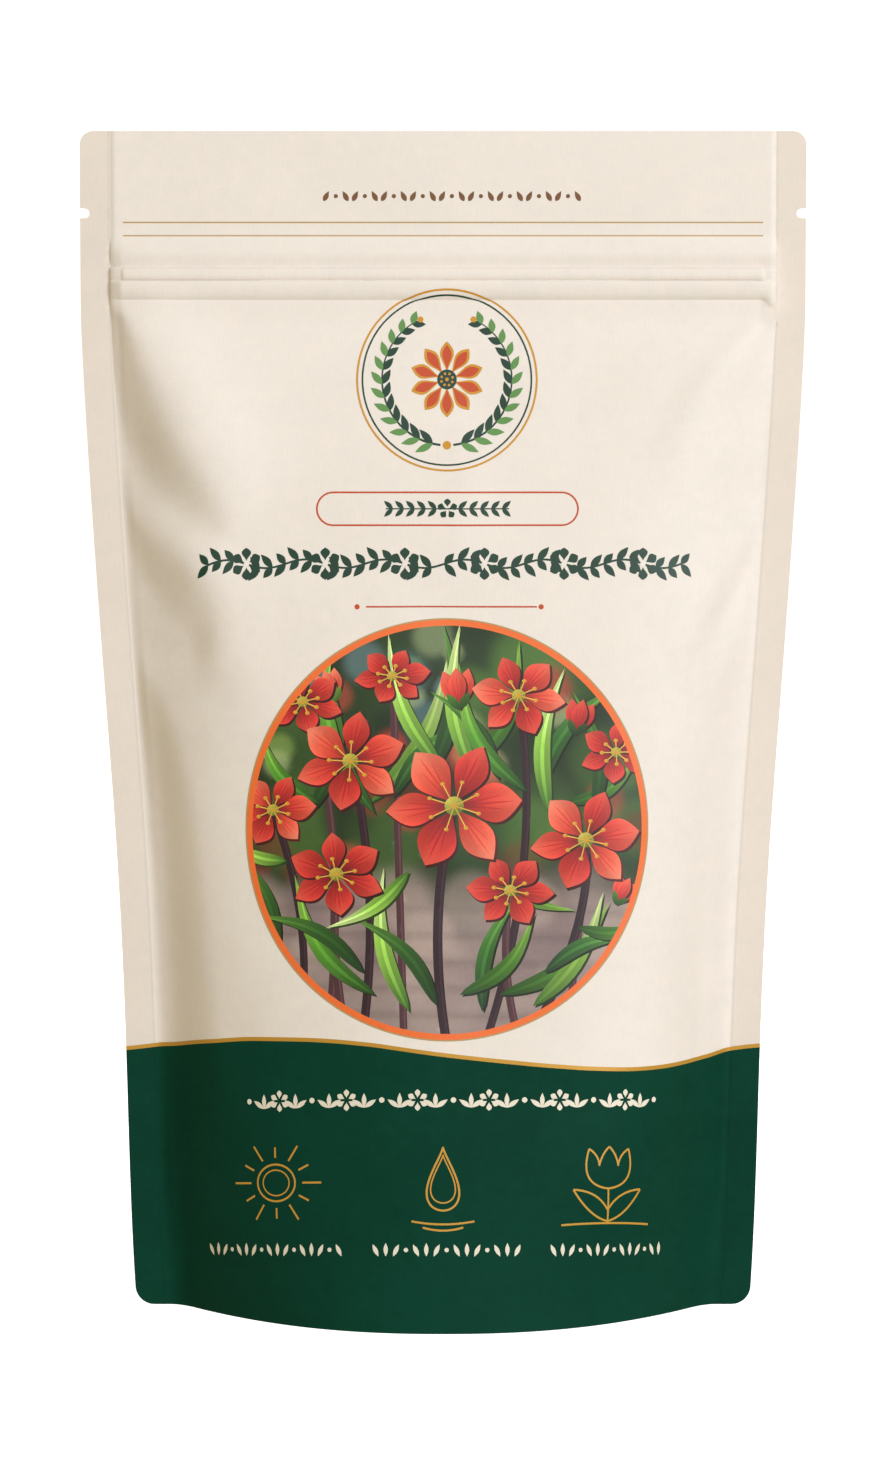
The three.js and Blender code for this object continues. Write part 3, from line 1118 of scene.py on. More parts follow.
def sheet_faces(rows: int, columns: int) -> tuple[Array, Array]:
    """Number the faces of a closed sheet, made of an outer and an inner grid of points.

    Args:
        rows: Rows of points.
        columns: Points in a row.

    Returns:
        The outer and inner faces and the rim's faces, as corners.
    """

    def quads(grid: Array) -> Array:
        """Return a grid's faces."""
        corners = (grid[:-1, :-1], grid[:-1, 1:], grid[1:, 1:], grid[1:, :-1])
        return np.stack(corners, -1).reshape(-1, 4)

    def edges(grid: Array) -> list[Array]:
        """Return a grid's four edges, in order round it."""
        return [grid[0, :], grid[:, -1], grid[-1, ::-1], grid[::-1, 0]]

    outer, inner = np.arange(2 * rows * columns).reshape(2, rows, columns)
    skins = np.concatenate([quads(outer), quads(inner)[:, ::-1]])
    rims = [
        np.stack([top[1:], top[:-1], bottom[:-1], bottom[1:]], -1)
        for top, bottom in zip(edges(outer), edges(inner))
    ]
    return skins, np.concatenate(rims)


@dataclass(frozen=True)
class WaveLine:
    """The wavy gold line between the cream film and the green band."""

    knots: tuple[Point, ...]
    middle: float = 48.6
    half: float = 0.36
    rounding: float = 3.0
    level_near: float = 2.0
    reach: float = 36.0

    def height(self, u: Array) -> Array:
        """Return the line's height at each u, smoothed between its knots."""
        places, heights = np.array(self.knots).T
        return between(places, heights, u, self.rounding)

    def warp(self, u: Array, z: Array) -> Array:
        """Bend level rows near the line's middle height so that they follow the line."""
        share = 1 - smooth(self.level_near, self.reach, np.abs(z - self.middle))
        return z + (self.height(u) - self.middle) * share


@dataclass
class FilmPanel:
    """One of the two printed panels: its film, with the colour bands and gold lines."""

    form: PouchForm
    side: Side
    name: str
    wave: WaveLine
    header_lines: tuple[float, ...] = (194.3, 196.7)
    header_line_half: float = 0.13
    level_end: float = 55.0
    weld_room: tuple[float, float, float] = (0.4, 0.4, 0.2)
    column_counts: tuple[int, ...] = (55, 14, 5, 5, 7)
    corner_points: int = 8
    green_rows: int = 52
    cream_rows: int = 106
    cream_end: float = 176.0
    zip_rows: tuple[tuple[float, float, float], ...] = (
        (176.5, 180.9, 0.5),
        (181.0, 189.6, 0.17),
        (189.8, 193.9, 0.5),
    )
    top_rows: int = 12
    notch_rim: float = 0.04
    notch_room: float = 0.9
    notch_points: int = 11

    def columns(self) -> Array:
        """Space the columns, closer together where the film leaves the welds.

        Returns:
            The u of each.
        """
        form = self.form
        tab, wall, weld = self.weld_room
        ends = (0, self.level_end, form.zip_half + tab, form.inner - wall, form.inner + weld)
        parts = [
            np.linspace(start, end, count + 1)[1:]
            for start, end, count in zip(ends, (*ends[1:], form.half), self.column_counts)
        ]
        positive = np.concatenate(parts)
        return np.concatenate([-positive[::-1], [0.0], positive])

    def rows(self) -> Array:
        """Space the rows, closer together at the corners, the notches, the zip and the lines.

        Returns:
            The height of each, before the wavy line bends them.
        """
        form = self.form
        wave = self.wave
        quarter = np.linspace(0, math.pi / 2, self.corner_points)
        top = form.height - form.top_corner
        radius = form.notch_height / 2
        notch = form.height - form.notch_drop
        rim = radius + self.notch_rim
        parts = [
            form.bottom_corner * (1 - np.cos(quarter)),
            np.linspace(form.bottom_corner, wave.middle - wave.half, self.green_rows)[1:],
            np.linspace(wave.middle + wave.half, self.cream_end, self.cream_rows),
            *(np.arange(*span) for span in self.zip_rows),
            [z + s * self.header_line_half for z in self.header_lines for s in (-1, 1)],
            [notch - rim, notch + rim],
            notch + radius * np.sin(np.linspace(-math.pi / 2, math.pi / 2, self.notch_points)),
            np.linspace(notch + radius + self.notch_room, top, self.top_rows)[:-1],
            form.height - form.top_corner * (1 - np.sin(quarter)),
        ]
        return np.unique(np.round(np.concatenate(parts), 4))

    def edge(self, z: Array) -> Array:
        """Work out the film's half width, with its corners and notches.

        Args:
            z: Heights.

        Returns:
            The half width at each height.
        """
        form = self.form
        high = np.clip(z - (form.height - form.top_corner), 0, form.top_corner)
        low = np.clip(form.bottom_corner - z, 0, form.bottom_corner)
        cut = form.top_corner - np.sqrt(form.top_corner**2 - high**2)
        cut = cut + form.bottom_corner - np.sqrt(form.bottom_corner**2 - low**2)
        radius = form.notch_height / 2
        off = np.abs(z - (form.height - form.notch_drop))
        slot = form.notch_depth - radius + np.sqrt(np.maximum(radius**2 - off**2, 0))
        return form.half - cut - np.where(off <= radius + 1e-6, slot, 0)

    def grid(self) -> tuple[Array, Array, Array]:
        """Lay the points out on the film.

        Returns:
            The u, the z and the level row's height of each.
        """
        level, u = np.meshgrid(self.rows(), self.columns(), indexing="ij")
        border = self.form.zip_half
        room = (self.edge(level) - border) / (self.form.half - border)
        beyond = np.maximum(np.abs(u) - border, 0)
        u = np.sign(u) * (np.minimum(np.abs(u), border) + beyond * room)
        return u, self.wave.warp(u, level), level

    def build(self) -> Piece:
        """Build the panel with its finishes.

        Returns:
            The panel.
        """
        u, z, level = self.grid()
        skins = tuple(self.form.panel(u, z, self.side, out) for out in (self.form.thickness, 0.0))
        middle = (level[:-1, :-1] + level[1:, :-1]) / 2
        bands = np.where(middle < self.wave.middle, 1, 0)
        bands = np.where(np.abs(middle - self.wave.middle) < self.wave.half, 2, bands)
        centre = (np.abs(u[:-1, :-1]) + np.abs(u[:-1, 1:])) / 2
        for line in self.header_lines:
            is_printed = np.abs(middle - line) < self.header_line_half
            bands = np.where(is_printed & (centre < self.form.zip_half), 3, bands)
        rim_count = 2 * (sum(u.shape) - 2)
        slots = np.concatenate([bands.ravel(), np.full(bands.size, 4), np.full(rim_count, 5)])
        film = (u, z, np.full(u.shape, float(self.side.value)))
        is_back = self.side is Side.BACK
        return two_skins(self.name, skins, slots, film, is_back, self.finishes())

    def finishes(self) -> list[Material]:
        """Make the film's materials.

        Returns:
            The materials, in the order that the faces' numbers mean.
        """
        return [
            FilmFinish(f"{self.name}_cream", Ink.CREAM.value).make(),
            green_film(f"{self.name}_green"),
            InkFinish(f"{self.name}_gold", Ink.GOLD.value, 0.42, 0.25).make(),
            InkFinish(f"{self.name}_fine_gold", Ink.FINE_GOLD.value, 0.45, 0.1).make(),
            PlainFinish(f"{self.name}_lining", srgb(226, 226, 222), 0.4).make(),
            cut_edge(f"{self.name}_cut_edge"),
        ]


@dataclass
class Gusset:
    """The folded strip that closes the bottom, opened into the pouch's base."""

    form: PouchForm
    name: str = "bottom_gusset_film"
    column_count: int = 141
    leaf_rows: int = 34
    welded_rows: tuple[float, ...] = (1.2, 1.4, 1.6, 1.8, 2.0)
    first_row: float = 0.04
    corner_gap: float = 0.3
    fold_room: float = 0.8
    fold_steps: int = 401

    def seal(self, u: Array) -> Array:
        """Work out the height of the weld to the panels.

        Args:
            u: Places along the film.

        Returns:
            The height at each place.
        """
        form = self.form
        share = np.minimum(1, np.abs(u) / form.inner)
        rise = form.gusset_depth - form.gusset_fold - form.gusset_seal
        return form.gusset_seal + rise * share**form.gusset_power

    def fold(self, u: Array) -> tuple[Array, Array]:
        """Work out where the fold line lies, which keeps its length of film.

        Args:
            u: Places along the film.

        Returns:
            The line's x and z at each place.
        """
        form = self.form
        share = np.minimum(1, np.abs(u) / form.inner)
        rise = form.gusset_depth - form.gusset_ridge
        steps = np.linspace(0, 1, self.fold_steps)
        slope = 2 * rise * (steps[:-1] + steps[1:]) / 2 / form.inner
        run = np.concatenate([[0], np.cumsum(np.sqrt(1 - slope**2) * np.diff(steps))])
        reach = np.interp(share, steps, run) / run[-1]
        chord = form.chord(np.array(form.gusset_depth))
        x = chord * reach + np.maximum(0, np.abs(u) - form.inner)
        return np.sign(u) * x, form.gusset_ridge + rise * share**2

    def middle(self, u: Array, v: Array) -> Array:
        """Find points of the gusset's middle surface.

        Args:
            u: Places along the film.
            v: Places across it, from -2 at the front rim over 0 at the fold to 2 at the back.

        Returns:
            The points.
        """
        seal = self.seal(u)
        down = np.abs(v)
        inset = -(self.form.gap + self.form.thickness / 2)
        level = seal * (2 - np.maximum(down, 1))
        front, back = (self.beside_panel(u, level, inset, side) for side in Side)
        welded = np.where((v < 0)[..., None], front, back)
        fold_x, fold_z = self.fold(u)
        free = np.minimum(down, 1)
        x = fold_x + (welded[..., 0] - fold_x) * free
        y = welded[..., 1] * free
        z = np.where(down >= 1, level, fold_z - (fold_z - seal) * free**2)
        return np.stack([x, y, z], -1)

    def beside_panel(self, u: Array, z: Array, out: float, side: Side) -> Array:
        """Find points beside a panel, at a level distance from its inner face.

        Args:
            u: Places along the film.
            z: Heights.
            out: The distance, outwards.
            side: Which panel.

        Returns:
            The points.
        """
        step = 0.2
        form = self.form
        dx = form.across(u + step, z) - form.across(u - step, z)
        dy = form.forward(u + step, z, side) - form.forward(u - step, z, side)
        length = np.hypot(dx, dy)
        x = form.across(u, z) - out * dy / length
        y = form.forward(u, z, side) + out * dx / length
        return np.stack([x, side.value * y, z], -1)

    def normals(self, u: Array, v: Array, centre: Array) -> Array:
        """Find the directions that the gusset faces, upright near the fold and level at the rims.

        Args:
            u: Places along the film.
            v: Places across it.
            centre: The points of its middle surface there.

        Returns:
            The direction at each point.
        """
        step = 0.01
        along = self.middle(u + step, v) - self.middle(u - step, v)
        over = self.middle(u, np.minimum(2, v + step)) - self.middle(u, np.maximum(-2, v - step))
        normal = unit(np.cross(along, over))
        most = self.fold_room * np.abs(centre[..., 1]) / (self.form.thickness / 2)
        is_tight = (np.abs(normal[..., 1]) > most) & (most < 1)
        lean = np.sign(normal[..., 1]) * most
        rise = np.sqrt(np.maximum(0, 1 - most**2))
        upright = np.stack([np.zeros(u.shape), lean, rise], -1)
        normal = np.where(is_tight[..., None], upright, normal)
        level = unit(normal * [1, 1, 0], 1e-9)
        return np.where((np.abs(v) == 2)[..., None], level, normal)

    def build(self) -> Piece:
        """Build the gusset with its finishes.

        Returns:
            The gusset.
        """
        form = self.form
        half = form.half - form.bottom_corner - self.corner_gap
        columns = np.linspace(-half, half, self.column_count)
        free = np.linspace(self.first_row, 1, self.leaf_rows)
        fine = np.concatenate([free, self.welded_rows])
        v, u = np.meshgrid(np.concatenate([-fine[::-1], [0], fine]), columns, indexing="ij")
        centre = self.middle(u, v)
        off = self.normals(u, v, centre) * form.thickness / 2
        skin_count = 2 * (u.shape[0] - 1) * (u.shape[1] - 1)
        slots = np.concatenate([np.zeros(skin_count), np.ones(2 * (sum(u.shape) - 2))])
        film = (u, v * form.gusset_depth / 2, np.zeros(u.shape))
        finishes = [green_film("gusset_green"), cut_edge("gusset_cut_edge")]
        return two_skins(self.name, (centre + off, centre - off), slots, film, False, finishes)


# Printed artwork, in millimetres on the flat print


@dataclass(frozen=True)
class Patch:
    """A printed shape: its outline and its ink, which is one colour or a painted gradient."""

    outline: Outline
    ink: Union[Ink, "Paint"]


def on_circle(middle: Point, radius: float, angle: float) -> Point:
    """Return the point of a circle at an angle in degrees."""
    a = math.radians(angle)
    return (middle[0] + radius * math.cos(a), middle[1] + radius * math.sin(a))


def arc(middle: Point, radii: Point, turn: Span = (0.0, 360.0), count: int = 48) -> Outline:
    """Draw an elliptical arc.

    Args:
        middle: Its middle.
        radii: Its half width and half height.
        turn: The angles in degrees that it goes from and to.
        count: How many steps it has.

    Returns:
        Its points.
    """
    angles = np.radians(np.linspace(*turn, count + 1))
    if abs(turn[1] - turn[0]) >= 360:
        angles = angles[:-1]
    (u, z), (wide, high) = middle, radii
    return [(u + wide * math.cos(a), z + high * math.sin(a)) for a in angles]


def disc(middle: Point, radius: float, count: int) -> Outline:
    """Return a round outline with a number of points."""
    return arc(middle, (radius, radius), count=count)


def stroke(points: Outline, widths: float | Sequence[float], closed: bool = False) -> list[Outline]:
    """Draw a line of some width.

    Args:
        points: The line's points.
        widths: Its width, or its width at each point.
        closed: Whether the last point joins the first.

    Returns:
        One four-sided outline for each step of the line.
    """
    line = np.array(points, float)
    wide = np.broadcast_to(np.array(widths, float) / 2, len(line))
    turned = np.roll(line, -1, 0) - np.roll(line, 1, 0)
    ahead = unit(turned if closed else np.gradient(line, axis=0))
    off = np.stack([-ahead[:, 1], ahead[:, 0]], 1) * wide[:, None]
    left = line + off
    right = line - off
    count = len(line) if closed else len(line) - 1
    ends = [(i, (i + 1) % len(line)) for i in range(count)]
    corners = [(right[i], right[j], left[j], left[i]) for i, j in ends]
    return [[(float(a), float(b)) for a, b in quad] for quad in corners]


def leaf(
    root: Point,
    angle: float,
    length: float,
    width: float,
    belly: float = 0.42,
    curl: float = 0.0,
    count: int = 9,
) -> Outline:
    """Draw a leaf or petal.

    Args:
        root: Where it starts.
        angle: Its direction in degrees.
        length: Its length.
        width: Its width.
        belly: Where along it, from 0 to 1, it is widest.
        curl: How far its middle bends to the left, as a share of its length.
        count: Points along each side.

    Returns:
        The outline, with pointed ends.
    """
    share = np.linspace(0, 1, count + 1)
    power = math.log(0.5) / math.log(belly)
    half = width / 2 * np.sin(math.pi * share**power)
    bend = curl * length * np.sin(math.pi * share)
    upper = np.stack([share * length, bend + half], 1)
    lower = np.stack([share * length, bend - half], 1)[1:-1][::-1]
    points = np.concatenate([upper[::-1], lower[::-1]])
    a = math.radians(angle)
    turn = np.array([[math.cos(a), math.sin(a)], [-math.sin(a), math.cos(a)]])
    placed = points @ turn + np.array(root)
    return [(float(x), float(z)) for x, z in placed]


def curve(start: Point, through: Point, end: Point, count: int = 16) -> Outline:
    """Draw a curve that leaves its start towards a point.

    Args:
        start: Its start.
        through: The point.
        end: Its end.
        count: How many steps it has.

    Returns:
        Its points.
    """
    t = np.linspace(0, 1, count + 1)[:, None]
    a, b, c = (np.array(p, float) for p in (start, through, end))
    line = a * (1 - t) ** 2 + b * 2 * t * (1 - t) + c * t**2
    return [(float(x), float(z)) for x, z in line]


def blossom(middle: Point, radius: float, petals: int, width: float) -> list[Outline]:
    """Draw a small open flower.

    Args:
        middle: Its middle.
        radius: Its size.
        petals: How many petals.
        width: The width of one.

    Returns:
        The petals' outlines.
    """
    angles = [90 + 360 * i / petals for i in range(petals)]
    roots = [on_circle(middle, radius * 0.22, angle) for angle in angles]
    sizes = (radius * 0.82, width, 0.62)
    return [leaf(root, angle, *sizes, count=7) for root, angle in zip(roots, angles)]


@dataclass
class Print:
    """A printed layer: patches in the order they are painted, laid on a panel as one skin."""

    name: str
    patches: list[Patch] = field(default_factory=list)
    pitch: float = 0.0
    lift: float = 0.045
    framed: bool = False

    def add(self, ink: Union[Ink, "Paint"], *outlines: Outline) -> None:
        """Paint outlines over what is there already."""
        self.patches.extend(Patch(outline, ink) for outline in outlines)

    def skin(self) -> tuple[Array, list[tuple[int, ...]], list[int]]:
        """Flatten the patches into one layer.

        Returns:
            The points, the triangles and the number of the topmost patch at each of them.
        """
        points: list[Point] = []
        faces = []
        for patch in self.patches:
            outline = np.array(patch.outline)
            ahead = np.roll(outline, -1, 0)
            area = np.sum(outline[:, 0] * ahead[:, 1] - ahead[:, 0] * outline[:, 1])
            ring = list(range(len(points), len(points) + len(outline)))
            points.extend(patch.outline)
            faces.append(ring if area > 0 else ring[::-1])
        if self.pitch:
            low = np.min(points, axis=0)
            high = np.max(points, axis=0)
            rows = np.arange(low[1], high[1], self.pitch * math.sin(math.pi / 3))
            for number, z in enumerate(rows):
                start = low[0] + self.pitch * 0.5 * (number % 2)
                points.extend((float(u), float(z)) for u in np.arange(start, high[0], self.pitch))
        made = delaunay_2d_cdt([Vector(p) for p in points], [], faces, 1, 1e-4, True)
        verts = np.array([tuple(v) for v in made[0]])
        kept = [(tuple(f), max(o)) for f, o in zip(made[2], made[5]) if self.shows(o)]
        return verts, [f for f, _ in kept], [top for _, top in kept]

    def shows(self, over: Sequence[int]) -> bool:
        """Tell if a triangle shows: a framed print's paint shows only over its first patch."""
        is_free = not self.framed or 0 in over
        return len(over) > 0 and (is_free or isinstance(self.patches[max(over)].ink, Ink))

    def lay(self, form: PouchForm, side: Side = Side.FRONT) -> Piece:
        """Lay the print on a panel.

        Args:
            form: The pouch's form.
            side: The panel.

        Returns:
            The print.
        """
        flat, faces, tops = self.skin()
        u = flat[:, 0] * -side.value
        z = form.level(u, flat[:, 1], side)
        points = form.panel(u, z, side, form.thickness + self.lift)
        inks = list(dict.fromkeys(p.ink for p in self.patches if isinstance(p.ink, Ink)))
        finishes = [InkFinish(f"{self.name}_{i.name.lower()}", i.value).make() for i in inks]
        slot = {ink: number for number, ink in enumerate(inks)}
        slots = [slot.get(self.patches[top].ink, len(inks)) for top in tops]
        is_painted = len(inks) in slots
        if is_painted:
            finishes.append(PictureFinish(f"{self.name}_picture").make())
        body = Body(self.name)
        body.add(points, np.array(faces), np.array(slots))
        piece = body.make(finishes)
        if is_painted:
            self.paint(piece, flat, np.array(faces), tops)
        return piece

    def paint(self, piece: Piece, flat: Array, faces: Array, tops: list[int]) -> None:
        """Colour each corner by its patch's paint.

        Args:
            piece: The print's mesh.
            flat: The points on the flat print.
            faces: The triangles.
            tops: The number of each triangle's patch.
        """
        colours = np.ones((len(faces), 3, 4), np.float32)
        of_patch = np.array(tops)
        for number in np.unique(of_patch):
            ink = self.patches[number].ink
            chosen = of_patch == number
            if isinstance(ink, Ink):
                colours[chosen, :, :3] = ink.value
            else:
                at = flat[faces[chosen]]
                colours[chosen, :, :3] = ink.at(at[..., 0], at[..., 1])
        layer = piece.data.color_attributes.new("ink", "FLOAT_COLOR", "CORNER")
        layer.data.foreach_set("color", colours.ravel())


@dataclass(frozen=True)
class Paint:
    """A painted gradient that runs along a direction from a root, with streaks across it."""

    root: Point
    angle: float
    length: float
    width: float
    colours: tuple[Colour, ...]
    streak: float = 0.15
    streaks: float = 3.0
    lean: float = 0.25

    def at(self, u: Array, z: Array) -> Array:
        """Find the colours of places.

        Args:
            u: The places' u.
            z: Their heights.

        Returns:
            A colour for each.
        """
        a = math.radians(self.angle)
        du = u - self.root[0]
        dz = z - self.root[1]
        along = np.clip((du * math.cos(a) + dz * math.sin(a)) / self.length, 0, 1)
        across = (dz * math.cos(a) - du * math.sin(a)) / (self.width / 2)
        stops = np.linspace(0, 1, len(self.colours))
        table = np.array(self.colours)
        colour = np.stack([np.interp(along, stops, table[:, k]) for k in range(3)], -1)
        streaks = np.cos(across * math.pi * self.streaks) * np.sin(math.pi * along)
        shade = (1 + self.streak * streaks) * (1 + self.lean * np.clip(across, -1, 1))
        return colour * shade[..., None]


@dataclass(frozen=True)
class Haze:
    """An out-of-focus background: soft round blots over foliage, with a plank fence below."""

    upper: Colour
    lower: Colour
    meets: float
    blots: tuple[tuple[float, float, float, Colour, float], ...]
    plank: float = 9.4

    def at(self, u: Array, z: Array) -> Array:
        """Find the colours of places.

        Args:
            u: The places' u.
            z: Their heights.

        Returns:
            A colour for each.
        """
        wander = 2.5 * np.sin(u * 0.17 + 1.0) + 1.2 * np.sin(u * 0.41)
        share = smooth(self.meets - 7, self.meets + 7, z + wander)[..., None]
        colour = np.array(self.lower) * (1 - share) + np.array(self.upper) * share
        for x, y, radius, tone, strength in self.blots:
            away = np.hypot(u - x, z - y) / radius
            weight = (strength * (1 - smooth(0.55, 1.15, away)))[..., None]
            colour = colour * (1 - weight) + np.array(tone) * weight
        course = np.cos(2 * math.pi * (z + 0.02 * u) / self.plank) ** 8
        return colour * (1 - 0.22 * course * (1 - share[..., 0]))[..., None]


@dataclass
class HeaderRow:
    """The small brown ornament above the zip: a row of seeds."""

    middle: Point = (1.6, 201.4)
    width: float = 45.0
    count: int = 27
    tilts: tuple[float, float, float] = (62.0, 90.0, 118.0)

    def print(self) -> Print:
        """Draw the row.

        Returns:
            The printed layer.
        """
        layer = Print("header_seed_row")
        z = self.middle[1]
        for i in range(self.count):
            u = self.middle[0] + (i / (self.count - 1) - 0.5) * self.width
            if i % 3 == 1:
                layer.add(Ink.BROWN, disc((u, z), 0.38, 12))
            else:
                tilt = self.tilts[i % 3]
                root = (u - math.cos(math.radians(tilt)), z - 0.9)
                layer.add(Ink.BROWN, leaf(root, tilt, 2.05, 0.9, 0.4))
        return layer


@dataclass
class Emblem:
    """The round emblem: two thin rings, a wreath of leaves and an open daisy."""

    middle: Point = (0.71, 168.8)
    outer: float = 16.05
    inner: float = 15.1
    wreath: float = 11.6
    leaves: int = 12
    petals: int = 10
    stem_turns: Span = (0.1, 2.62)
    leaf_turns: Span = (0.22, 2.35)
    tip_turn: float = 2.72
    seeds: int = 8

    def branch(self, layer: Print, side: int) -> None:
        """Draw one branch of the wreath: its stem, its leaves and the bud at its tip.

        Args:
            layer: The print.
            side: -1 for the left branch, 1 for the right one.
        """
        u, z = self.middle

        def on_wreath(turn: float) -> Point:
            """Return a point of the wreath's circle, at a turn from its foot."""
            return (u + side * self.wreath * math.sin(turn), z - self.wreath * math.cos(turn))

        stem = [on_wreath(turn) for turn in np.linspace(*self.stem_turns, 30)]
        layer.add(Ink.DEEP_GREEN, *stroke(stem, np.linspace(0.4, 0.2, 30)))
        for i in range(self.leaves):
            turn = self.leaf_turns[0] + self.leaf_turns[1] * i / (self.leaves - 1)
            for lean, ink in ((34, Ink.DEEP_GREEN), (-38, Ink.LEAF_GREEN)):
                angle = math.degrees(turn) + lean
                angle = 180 - angle if side < 0 else angle
                layer.add(ink, leaf(on_wreath(turn), angle, 3.5 - 0.09 * i, 1.25, 0.45))
        layer.add(Ink.EMBLEM_GOLD, disc(on_wreath(self.tip_turn), 0.55, 14))

    def print(self) -> Print:
        """Draw the emblem.

        Returns:
            The printed layer.
        """
        layer = Print("emblem_wreath", pitch=0.7)
        u, z = self.middle
        rings = ((self.outer, 0.34, Ink.EMBLEM_GOLD), (self.inner, 0.3, Ink.DEEP_GREEN))
        for radius, width, ink in rings:
            layer.add(ink, *stroke(disc(self.middle, radius, 96), width, closed=True))
        for side in (-1, 1):
            self.branch(layer, side)
        layer.add(Ink.EMBLEM_GOLD, disc((u, z - self.wreath), 0.75, 16))
        sizes = ((1.2, 5.5, 2.5, Ink.EMBLEM_GOLD), (1.6, 4.5, 1.7, Ink.RUST))
        for i in range(self.petals):
            angle = 360 * i / self.petals + 90
            for start, length, width, ink in sizes:
                root = on_circle(self.middle, start, angle)
                layer.add(ink, leaf(root, angle, length, width, 0.62))
        layer.add(Ink.DEEP_GREEN, disc(self.middle, 1.75, 28))
        for i in range(self.seeds):
            seed = on_circle(self.middle, 1.05, 360 / self.seeds * i + 20)
            layer.add(Ink.EMBLEM_GOLD, disc(seed, 0.24, 8))
        layer.add(Ink.EMBLEM_GOLD, disc(self.middle, 0.34, 10))
        return layer


@dataclass
class Pill:
    """The stadium-shaped outline under the emblem, with a small dark sprig in it."""

    left: float = -22.5
    right: float = 24.1
    low: float = 143.1
    high: float = 148.9
    line: float = 0.3
    sprig: float = 11.0
    leaf_pairs: int = 5
    leaf_step: float = 1.95

    def print(self) -> Print:
        """Draw the outline and the sprig.

        Returns:
            The printed layer.
        """
        layer = Print("pill_frame")
        radius = (self.high - self.low) / 2
        z = (self.low + self.high) / 2
        end = arc((self.right - radius, z), (radius, radius), (-90, 90), 20)
        start = arc((self.left + radius, z), (radius, radius), (90, 270), 20)
        span = np.linspace(self.left + radius, self.right - radius, 40)[1:-1]
        top = [(float(u), self.high) for u in span[::-1]]
        bottom = [(float(u), self.low) for u in span]
        layer.add(Ink.RUST, *stroke(end + top + start + bottom, self.line, closed=True))
        middle = (self.left + self.right) / 2
        stem = [(middle + u, z) for u in np.linspace(-self.sprig, self.sprig, 24)]
        layer.add(Ink.DEEP_GREEN, *stroke(stem, 0.22))
        for i in [i for i in range(-self.leaf_pairs, self.leaf_pairs + 1) if i]:
            root = (middle + i * self.leaf_step, z)
            for lean in (-42, 42):
                angle = (0 if i > 0 else 180) + lean
                layer.add(Ink.DEEP_GREEN, leaf(root, angle, 2.1, 0.85, 0.45, count=7))
        layer.add(Ink.DEEP_GREEN, *blossom((middle, z), 1.75, 5, 1.2))
        return layer


@dataclass
class Garland:
    """The dark green garland across the panel: a waving stem, leaves and small blossoms."""

    middle: Point = (0.3, 136.3)
    half: float = 42.6
    swing: float = 0.75
    period: float = 14.2

    def print(self) -> Print:
        """Draw the garland.

        Returns:
            The printed layer.
        """
        layer = Print("title_garland", pitch=1.6)
        u0, z0 = self.middle

        def stem(u: float) -> float:
            """Return the stem's height."""
            return z0 + self.swing * math.sin(2 * math.pi * (u - u0) / self.period)

        line = [(u, stem(u)) for u in np.linspace(u0 - self.half, u0 + self.half, 130)]
        layer.add(Ink.DEEP_GREEN, *stroke(line, 0.36))
        step = self.period / 6
        last = int((self.half + 0.1) / step)
        for i in range(-last, last + 1):
            u = u0 + i * step
            if i % 6 == 3:
                layer.add(Ink.DEEP_GREEN, *blossom((u, stem(u)), 2.75, 6, 1.75))
                layer.add(Ink.CREAM, disc((u, stem(u)), 0.5, 12))
                continue
            heading, way = (0, 1) if i >= 0 else (180, -1)
            for lean in (-1, 1):
                reach = 3.1 if lean * (1 if i % 2 else -1) > 0 else 2.5
                angle = heading + way * lean * 48
                layer.add(Ink.DEEP_GREEN, leaf((u, stem(u)), angle, reach, 1.3, 0.45))
        return layer


@dataclass
class Divider:
    """The thin line with a dot at each end, over the picture."""

    left: float = -13.7
    right: float = 16.75
    gaps: Span = (1.6, 0.75)
    level: float = 128.7

    def print(self) -> Print:
        """Draw the divider.

        Returns:
            The printed layer.
        """
        layer = Print("divider_line")
        line = [(float(u), self.level) for u in np.linspace(self.left, self.right, 30)]
        layer.add(Ink.RUST, *stroke(line, 0.27))
        for u in (self.left - self.gaps[0], self.right + self.gaps[1]):
            layer.add(Ink.RUST, disc((u, self.level), 0.46, 16))
        return layer


PETAL_REDS = (
    (srgb(112, 20, 34), srgb(206, 48, 44), srgb(232, 80, 62), srgb(240, 110, 88)),
    (srgb(92, 14, 28), srgb(182, 34, 36), srgb(214, 58, 50), srgb(228, 88, 72)),
    (srgb(132, 34, 36), srgb(222, 70, 52), srgb(242, 104, 80), srgb(248, 142, 114)),
)
LEAF_TONES = (
    (srgb(26, 66, 22), srgb(74, 132, 40), srgb(142, 190, 78)),
    (srgb(18, 50, 24), srgb(48, 100, 38), srgb(98, 152, 60)),
    (srgb(52, 98, 34), srgb(134, 182, 72), srgb(214, 232, 164)),
)
STEM_TONES = (srgb(46, 26, 38), srgb(78, 48, 56), srgb(56, 58, 36))
Blade = tuple[Point, float, float, int]
Bud = tuple[Point, float, float, int]
Head = tuple[Point, float, float, float, Point, Point, int]


